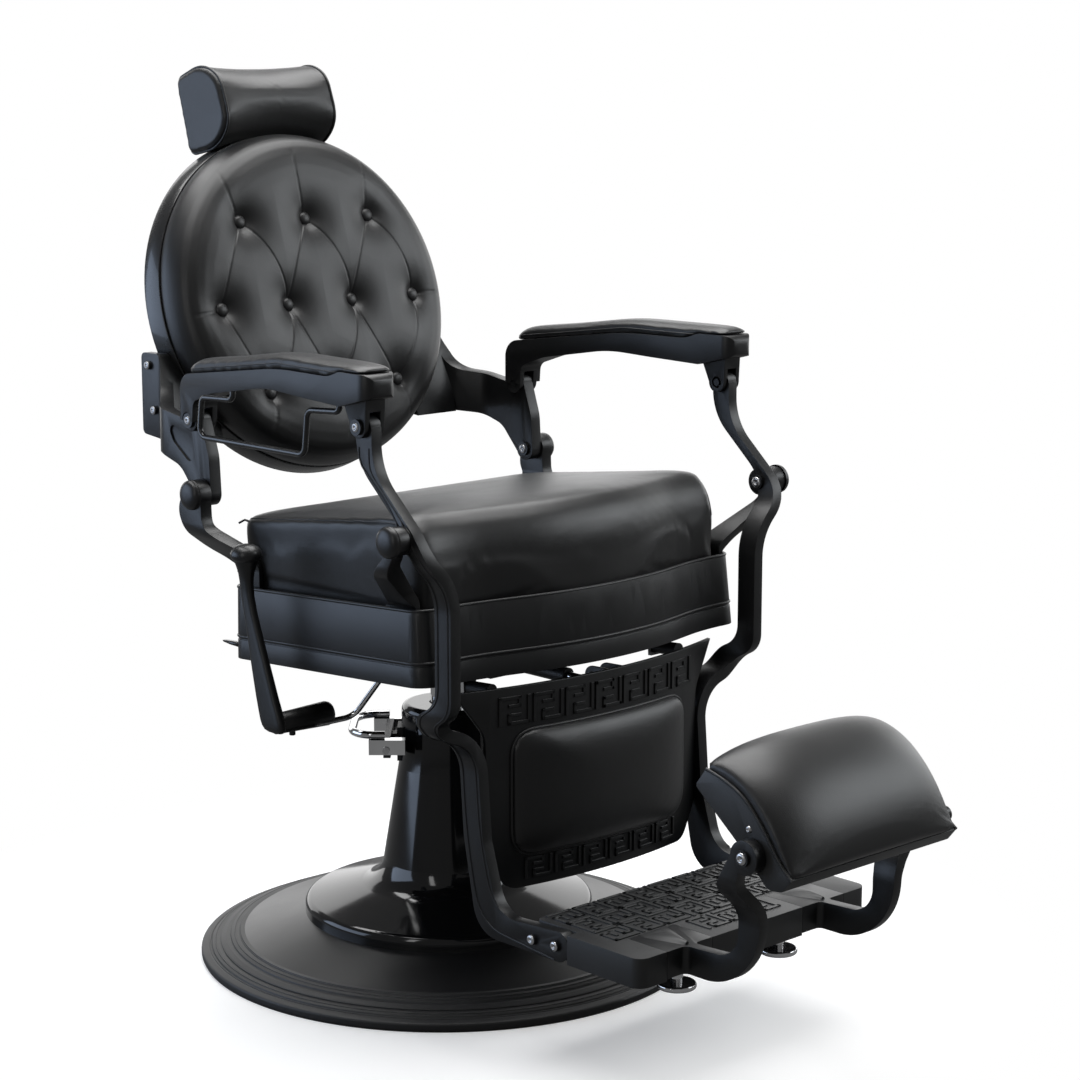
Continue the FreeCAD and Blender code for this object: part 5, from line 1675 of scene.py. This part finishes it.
@dataclass(frozen=True)
class Meander:
    """One key of the meander relief, as a low raised strip.

    The runs are drawn on a square of five by five parts.
    """

    wide: float
    high: float
    line: float
    raised: float = 1.8
    sunk: float = 0.6
    chamfer: float = 0.35
    runs: tuple = (((0, 0), (0, 5)), ((0, 5), (3.4, 5)), ((3.4, 5), (3.4, 3.4)),
                   ((3.4, 3.4), (1.7, 3.4)), ((5, 5), (5, 0)), ((5, 0), (1.6, 0)),
                   ((1.6, 0), (1.6, 1.6)), ((1.6, 1.6), (3.3, 1.6)))

    def piece(self) -> bpy.types.Object:
        """Make the key at the origin: two hooks that grip each other, facing +Z.

        Returns:
            The key.
        """
        points, faces = [], []
        across, up, half = self.wide / 5, self.high / 5, self.line / 2
        for first, second in self.runs:
            x0, x1 = sorted((first[0] * across, second[0] * across))
            y0, y1 = sorted((first[1] * up, second[1] * up))
            at = len(points)
            for reach, height in ((half, -self.sunk), (half, self.raised - self.chamfer),
                                  (half - self.chamfer, self.raised)):
                points += [mm(x0 - reach, y0 - reach, height), mm(x1 + reach, y0 - reach, height),
                           mm(x1 + reach, y1 + reach, height), mm(x0 - reach, y1 + reach, height)]
            faces += ring_faces(at, at + 4, 4) + ring_faces(at + 4, at + 8, 4)
            faces += [(at + 8, at + 9, at + 10, at + 11), (at + 3, at + 2, at + 1, at)]
        obj = mesh_of("meander_key", points, faces)
        obj.data.shade_flat()
        return obj


@dataclass
class LegPanel:
    """The bowed panel with two meander bands and its leather pad.

    The pad is held behind the depth held_depth, in metres.
    """

    chair: Chair
    radius: float = 760.0
    front: float = -318.0
    half: float = 158.0
    low: float = 230.0
    high: float = 397.0
    corner: float = 36.0
    thick: float = 24.0
    edge: float = 3.5
    held_depth: float = -0.322
    shares: tuple = (1, 0.995, 0.985, 0.96, 0.92, 0.86, 0.78, 0.68, 0.56, 0.42, 0.26, 0.1)

    def build(self) -> None:
        """Build the panel's relief, pad and piping."""
        self.chair.cast("leg_panel", Slot.CASTING, edge=1.6)
        self.relief("top", 408, 7, 51.0, Meander(wide=43, high=33, line=4.2))
        self.relief("bottom", 200, 6, 47.0, Meander(wide=39, high=24, line=3.6))
        outline = rounded([(x, z, self.corner) for x, z in (
            (self.half, self.high), (-self.half, self.high), (-self.half, self.low),
            (self.half, self.low))])
        line = even_loop(outline, 6)
        Stuffed(self.chair, "leg_pad", "legs", grid=3.6, limit=1.0).build(
            self.held, self.form(line))
        path = np.stack([line[:, 0], self.face(line[:, 0]) - 1.0, line[:, 1]], 1) * MM
        tube("leg_pad_piping", path, 2.2, Slot.LEATHER, "legs", closed=True, spacing=5)
        log.info("leg panel: meander bands, pad and piping")

    def held(self, points: np.ndarray) -> np.ndarray:
        """Hold the pad where it meets the panel."""
        return smooth_step((points[:, 1] - self.held_depth) / 0.006)

    def form(self, outline: np.ndarray) -> bpy.types.Object:
        """Loft the pad: low at its edges, with a broad soft crown.

        Args:
            outline: The pad's outline on the panel, in millimetres.

        Returns:
            The closed form.
        """
        middle = np.array((0, (self.low + self.high) / 2))
        rows = [(0.4, -1.0), (1.0, -1.0)]
        rows += [(share, self.edge + (self.thick - self.edge) * (1 - share ** 3) ** 0.62)
                 for share in self.shares]
        rings = []
        for share, proud in rows:
            x, z = (middle + (outline - middle) * share).T
            rings.append(np.stack([x, self.face(x) - proud, z], 1) * MM)
        return loft("leg_pad_soft", rings)

    def face(self, x: np.ndarray) -> np.ndarray:
        """Give the depth of the bowed face at places across the panel."""
        return self.front + self.radius - np.sqrt(self.radius ** 2 - x ** 2)

    def relief(self, name: str, floor: float, count: int, pitch: float, key: Meander) -> None:
        """Set one band of keys on the bowed face.

        Args:
            name: Which band it is.
            floor: Height of the band's lower side.
            count: Number of keys.
            pitch: Distance between keys.
            key: The key.
        """
        piece = key.piece()
        places = []
        for index in range(count):
            x = (index - (count - 1) / 2) * pitch
            bend = math.asin(x / self.radius)
            facing = Vector((math.sin(bend), -math.cos(bend), 0))
            along = Vector((math.cos(bend), math.sin(bend), 0))
            point = mm(x, float(self.face(np.array(x))), floor) - along * (key.wide / 2 * MM)
            places.append((point, facing, along, 1.0))
        spread(f"panel_meander_{name}", piece, places, Slot.CASTING, "legs")
        bpy.data.objects.remove(piece)


@dataclass
class FootPlate:
    """The foot plate with its meander relief, rest arms, pads and screws.

    The rows give their depth and their number of keys. A fin's section gives shares of its
    half width and of its height.
    """

    chair: Chair
    top: float = 177.0
    key: float = 37.0
    pitch: float = 46.0
    rows: tuple = ((-429, 8), (-472, 8), (-515, 8), (-563, 3))
    fin_start: float = -522.0
    fin_run: float = 62.0
    fin_x: float = 124.0
    fin_half: float = 34.0
    fin_height: float = 5.5
    fin_section: tuple = ((-1, -1.0), (-0.78, -0.1), (-0.5, 0.6), (0, 1.0), (0.5, 0.6),
                          (0.78, -0.1), (1, -1.0))

    def build(self) -> None:
        """Build the relief and round the castings."""
        self.chair.cast("foot_plate", Slot.FOOT_CASTING, edge=2.2)
        for side in ("left", "right"):
            self.chair.cast(f"rest_arm_{side}", Slot.CASTING, edge=3.4)
        self.chair.finish(Slot.BRIGHT, "foot_pads")
        self.chair.finish(Slot.CASTING, "foot_plate_bolts", "leg_rest_bolts")
        piece = Meander(wide=self.key, high=self.key, line=4.6, raised=1.7).piece()
        places = []
        for row, (y, count) in enumerate(self.rows):
            for index in range(count):
                x = (index - count / 2) * self.pitch + (self.pitch - self.key) / 2
                turned = (index + row) % 2 == 0
                along = Vector((0, 1, 0)) if turned else Vector((1, 0, 0))
                point = mm(x + (self.key if turned else 0), y, self.top)
                places.append((point, Vector((0, 0, 1)), along, 1.0))
        spread("foot_meander", piece, places, Slot.FOOT_CASTING, "legs")
        bpy.data.objects.remove(piece)
        self.fins()
        log.info("foot plate: meander relief, fins, rest arms and pads")

    def fins(self) -> None:
        """Raise the fin that narrows from each arm's root towards its neck."""
        for side, sign in (("left", 1), ("right", -1)):
            rings = []
            for share in np.linspace(0, 1, 14):
                half, middle = self.fin_half * (1 - share) + 5, self.fin_x + 3 * share
                height = self.fin_height * math.sin(math.pi * (share * 0.75 + 0.02)) + 0.6
                rings.append([mm(sign * (middle + half * across),
                                 self.fin_start - self.fin_run * share,
                                 self.top - 0.5 + max(height * lift, -0.8))
                              for across, lift in self.fin_section])
            obj = loft(f"root_fin_{side}", rings)
            self.chair.shade(obj, 60)
            wear_finish(obj, Slot.FOOT_CASTING)
            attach(obj, "legs")


@dataclass
class LegRest:
    """The tilting leg rest: pressed pan, crowned leather pad and edge piping.

    The crown's four points guide a smooth curve in the side view, from the pivot. The pad's
    ends are held from held_from outward, in metres.
    """

    chair: Chair
    pivot: tuple[float, float] = (-714.0, 325.0)
    half: float = 154.0
    thin: float = 0.3
    held_from: float = 0.146
    crown: tuple = ((80, 107), (50, 147), (-68, 74), (-66, -14))

    def build(self) -> None:
        """Build the pad, its piping and the pan."""
        Stuffed(self.chair, "leg_rest_pad", "leg_rest", grid=4.0, limit=0.8).build(
            self.held, self.form())
        y0, z0 = self.pivot
        flat = even(self.seam(), 6)
        for side, sign in (("left", 1), ("right", -1)):
            line = np.hstack([np.full((len(flat), 1), sign * (self.half - 1.0)),
                              flat + (y0, z0)]) * MM
            tube(f"leg_rest_piping_{side}", line, 2.2, Slot.LEATHER, "leg_rest", spacing=5)
        self.chair.cast("leg_rest_pan", Slot.FOOT_CASTING, edge=1.2, steps=2)
        self.chair.finish(Slot.PLASTIC, "leg_rest_knob")
        pin = lathe("pin", [(0, -1), (4.2, -1), (4.2, 1.2), (2.6, 2.2), (1.6, 2.2), (1.4, 1),
                            (0, 1)], 16)
        spread("leg_rest_pin", pin, [(mm(-self.half, y0 + 7, z0 + 30), Vector((-1, 0, 0)),
                                      Vector((0, 1, 0)), 1.0)], Slot.ZINC, "leg_rest")
        bpy.data.objects.remove(pin)
        log.info("leg rest: pad, piping, pan and knob")

    @staticmethod
    def seam() -> np.ndarray:
        """Give the curve of the pan's rim in the side view, from the pivot."""
        return np.vstack([bezier((77, 89), (35, 80), (13, 63)),
                          bezier((13, 63), (-8, 45), (-28, 16)),
                          bezier((-28, 16), (-46, -10), (-60, -18))])

    def form(self) -> bpy.types.Object:
        """Loft the pad across the chair: one smooth crown that thins out towards its ends.

        Returns:
            The closed form.
        """
        rim = even(self.seam(), 5)
        t = np.linspace(0, 1, 200)[:, None]
        ends = np.array(self.crown, float)
        curve = ((1 - t) ** 3 * ends[0] + 3 * t * (1 - t) ** 2 * ends[1]
                 + 3 * t * t * (1 - t) * ends[2] + t ** 3 * ends[3])
        outer = even(curve, 5, len(rim))
        inner = rim + (rim - outer) / np.linalg.norm(rim - outer, axis=1)[:, None] * 1.5
        rings = []
        for share in (-1, -0.99, -0.97, *np.linspace(-0.93, 0.93, 25), 0.97, 0.99, 1):
            full = self.thin + (1 - self.thin) * (1 - abs(share) ** 3) ** 0.7
            skin = rim + (outer - rim) * full
            loop = np.vstack([inner, skin[::-1]]) + self.pivot
            across = np.full((len(loop), 1), share * (self.half - 2))
            rings.append(np.hstack([across, loop]) * MM)
        return loft("leg_rest_pad_soft", rings)

    def held(self, points: np.ndarray) -> np.ndarray:
        """Hold the ends of the pad and let the rest swell."""
        return smooth_step((np.abs(points[:, 0]) - self.held_from) / 0.006)


@dataclass
class Base:
    """The round base with its grooved rubber ring, gloss cover and foot pump.

    The ring's ribs are dropped onto it from the height above.
    """

    chair: Chair
    ribs: tuple = (296.0, 303.0, 322.0, 330.0, 338.0)
    rib: float = 1.1
    rib_steps: int = 180
    above: float = 300.0

    def build(self) -> None:
        """Dress the base and lay the ring's ribs."""
        self.chair.finish(Slot.RUBBER, "rubber_ring", "lever_boot")
        self.chair.finish(Slot.BASE_IRON, "base_plate")
        self.chair.finish(Slot.GLOSS, "column_cover")
        self.chair.finish(Slot.PUMP_IRON, "pump_body", "pump_lever")
        self.chair.finish(Slot.ZINC, "base_bolts", "lever_screws", "gland_nut")
        self.chair.finish(Slot.BRIGHT, "piston", "lever_bars", "lever_hoop")
        tree = surface(self.chair.nodes["rubber_ring"])
        turns = np.linspace(0, math.tau, self.rib_steps + 1)[:-1]
        for index, radius in enumerate(self.ribs):
            start = np.stack([radius * np.cos(turns), radius * np.sin(turns),
                              np.full(self.rib_steps, self.above)], 1) * MM
            path = cast_onto(tree, start, Vector((0, 0, -1)), -0.2)
            tube(f"ring_rib_{index + 1}", path, self.rib, Slot.RUBBER, "base", closed=True,
                 sides=6, spacing=12)
        log.info("base: ring with ribs, plate, gloss cover and pump")


@dataclass
class Screws:
    """The socket heads of the chair's bolts.

    Each spot gives the place on the sitter's left, the head's radius, and 1 where the head
    faces outward or -1 where it faces the middle. The right side mirrors it.
    """

    chair: Chair
    spots: tuple = (
        ("back", ((260, 334, 820, 5.6, 1), (260, 322, 758, 5.6, 1), (315.6, 164, 765, 6, 1))),
        ("legs", ((214, -397, 156, 6.4, 1), (214, -439, 158, 6.4, 1), (342, -220, 798, 6, 1))),
        ("seat", ((281.7, 148, 667, 6.5, -1), (309.7, -294, 666, 7.5, -1))),
        ("leg_rest", ((175, -714, 325, 7.6, 1),)))

    def build(self) -> None:
        """Set a socket head on every visible bolt."""
        head = lathe("head", [(0, -0.6), (0.98, -0.6), (1.0, 0.02), (0.92, 0.16), (0.6, 0.26),
                              (0.46, 0.27), (0.42, 0.02), (0, 0.02)], 24)
        for body, spots in self.spots:
            places = [(mm(sign * x, y, z), Vector((sign * way, 0, 0)), Vector((0, 0.8, 0.6)), size)
                      for sign in (1, -1) for x, y, z, size, way in spots]
            spread(f"screw_heads_{body}", head, places, Slot.ZINC, body)
        bpy.data.objects.remove(head)
        log.info("screws: socket heads")


@dataclass(frozen=True)
class Lamp:
    """A soft rectangular light that the camera doesn't see, placed in metres."""

    name: str
    place: tuple[float, float, float]
    aim: tuple[float, float, float]
    size: tuple[float, float]
    power: float
    colour: tuple[float, float, float] = (1.0, 1.0, 1.0)

    def build(self) -> None:
        """Add the light to the scene."""
        data = bpy.data.lights.new(self.name, "AREA")
        data.shape = "RECTANGLE"
        data.size, data.size_y = self.size
        data.energy = self.power
        data.color = self.colour
        lamp = bpy.data.objects.new(self.name, data)
        bpy.context.scene.collection.objects.link(lamp)
        lamp.location = self.place
        way = Vector(self.aim) - Vector(self.place)
        lamp.rotation_euler = way.to_track_quat("-Z", "Y").to_euler()
        lamp.visible_camera = False


@dataclass
class Studio:
    """Camera, floor and soft light of a pale studio, in metres."""

    place: tuple[float, float, float] = (-2.396, -2.722, 1.259)
    yaw: float = 43.396
    pitch: float = -10.54
    lens: float = 88.76
    mirrored: float = 0.12
    floor_rings: tuple = (0.0, 0.6, 1.2, 2.5, 6.0, 14.0)
    floor_sides: int = 64
    lamps: tuple = (
        Lamp("top", (0.3, 0.5, 3.3), (0.1, 0.1, 0.4), (3.2, 3.2), 170),
        Lamp("behind", (3.0, 3.3, 1.3), (0, 0, 0.9), (9.0, 2.8), 120),
        Lamp("window", (-3.1, 2.7, 1.1), (0, 0, 0.8), (3.4, 2.5), 67, (0.62, 0.76, 1)),
        Lamp("strip", (-2.6, -0.9, 1.5), (0, 0, 0.4), (0.35, 1.7), 6),
        Lamp("front", (2.7, -2.6, 2.4), (0, 0.3, 0.9), (2.6, 1.8), 58, (0.93, 0.97, 1)),
        Lamp("side", (3.4, -0.6, 1.3), (0, 0.2, 0.8), (1.8, 1.6), 18, (0.95, 0.98, 1)))

    def build(self) -> None:
        """Set up the camera, the world, the floor and the lights."""
        scene = bpy.context.scene
        scene.view_settings.view_transform = "Standard"
        data = bpy.data.cameras.new("camera")
        data.lens = self.lens
        data.sensor_width = 36.0
        data.clip_end = 60.0
        camera = bpy.data.objects.new("camera", data)
        scene.collection.objects.link(camera)
        camera.location = self.place
        camera.rotation_euler = (math.radians(90 + self.pitch), 0, math.radians(-self.yaw))
        scene.camera = camera
        self.world()
        self.floor()
        for lamp in self.lamps:
            lamp.build()
        log.info("studio: camera, floor and light")

    def seen(self, n: Nodes) -> bpy.types.NodeSocket:
        """Give where the pale background shows: to the camera, through glass and in gloss.

        Args:
            n: The nodes of the world or of the floor.

        Returns:
            The socket with the share of the background, 0 to 1.
        """
        path = n.add("ShaderNodeLightPath").outputs
        direct = n.math("MAXIMUM", path["Is Camera Ray"], path["Is Transmission Ray"])
        mirrored = n.math("MULTIPLY", path["Is Glossy Ray"], self.mirrored)
        return n.math("MAXIMUM", direct, mirrored)

    def world(self) -> None:
        """Make the background white, and dim for the light that falls on the chair."""
        world = bpy.data.worlds.new("studio")
        bpy.context.scene.world = world
        n = fresh_nodes(world)
        dim = n.add("ShaderNodeBackground", {"Color": (1, 1, 1, 1), "Strength": 0.05})
        white = n.add("ShaderNodeBackground", {"Color": (1, 1, 1, 1), "Strength": 1.0})
        mixed = n.add("ShaderNodeMixShader", {0: self.seen(n), 1: dim.outputs[0],
                                              2: white.outputs[0]})
        n.add("ShaderNodeOutputWorld", {"Surface": mixed.outputs[0]})

    def floor(self) -> None:
        """Lay the pale floor; it fades to plain white away from the chair."""
        points, faces, sides = [], [], self.floor_sides
        turns = [math.tau * step / sides for step in range(sides)]
        for radius in self.floor_rings:
            points += [(radius * math.cos(turn), radius * math.sin(turn), 0) for turn in turns]
        for low in range(0, len(points) - sides, sides):
            faces += [face[::-1] for face in ring_faces(low, low + sides, sides)]
        floor = mesh_of("floor", points, faces)
        made = bpy.data.materials.new("floor")
        n = fresh_nodes(made)
        place = n.add("ShaderNodeTexCoord").outputs["Object"]
        far = n.add("ShaderNodeVectorMath", {0: place}, operation="LENGTH").outputs["Value"]
        share = n.add("ShaderNodeMapRange", {"Value": far, "From Min": 0.38, "From Max": 0.85,
                                             "To Min": 0.0, "To Max": 1.0},
                      interpolation_type="SMOOTHSTEP").outputs[0]
        pale = n.add("ShaderNodeBsdfDiffuse", {"Color": (0.8, 0.8, 0.8, 1)})
        glow = n.add("ShaderNodeEmission", {"Color": (1, 1, 1, 1), "Strength": 0.3})
        lit = n.add("ShaderNodeAddShader", {0: pale.outputs[0], 1: glow.outputs[0]})
        white = n.add("ShaderNodeEmission", {"Color": (1, 1, 1, 1), "Strength": 1.0})
        mixed = n.add("ShaderNodeMixShader", {0: share, 1: lit.outputs[0], 2: white.outputs[0]})
        dim = n.add("ShaderNodeBsdfDiffuse", {"Color": (0.06, 0.06, 0.06, 1)})
        both = n.add("ShaderNodeMixShader", {0: self.seen(n), 1: dim.outputs[0],
                                             2: mixed.outputs[0]})
        n.add("ShaderNodeOutputMaterial", {"Surface": both.outputs[0]})
        floor.data.materials.append(made)


def main() -> None:
    """Build the chair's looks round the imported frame."""
    chair = Chair(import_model())
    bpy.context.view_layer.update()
    pieces = (Base(chair), Seat(chair), Linkage(chair), Back(chair), Headrest(chair),
              Arms(chair), LegPanel(chair), FootPlate(chair), LegRest(chair), Screws(chair))
    for piece in pieces:
        piece.build()
    Studio().build()


if __name__ == "__main__":
    main()
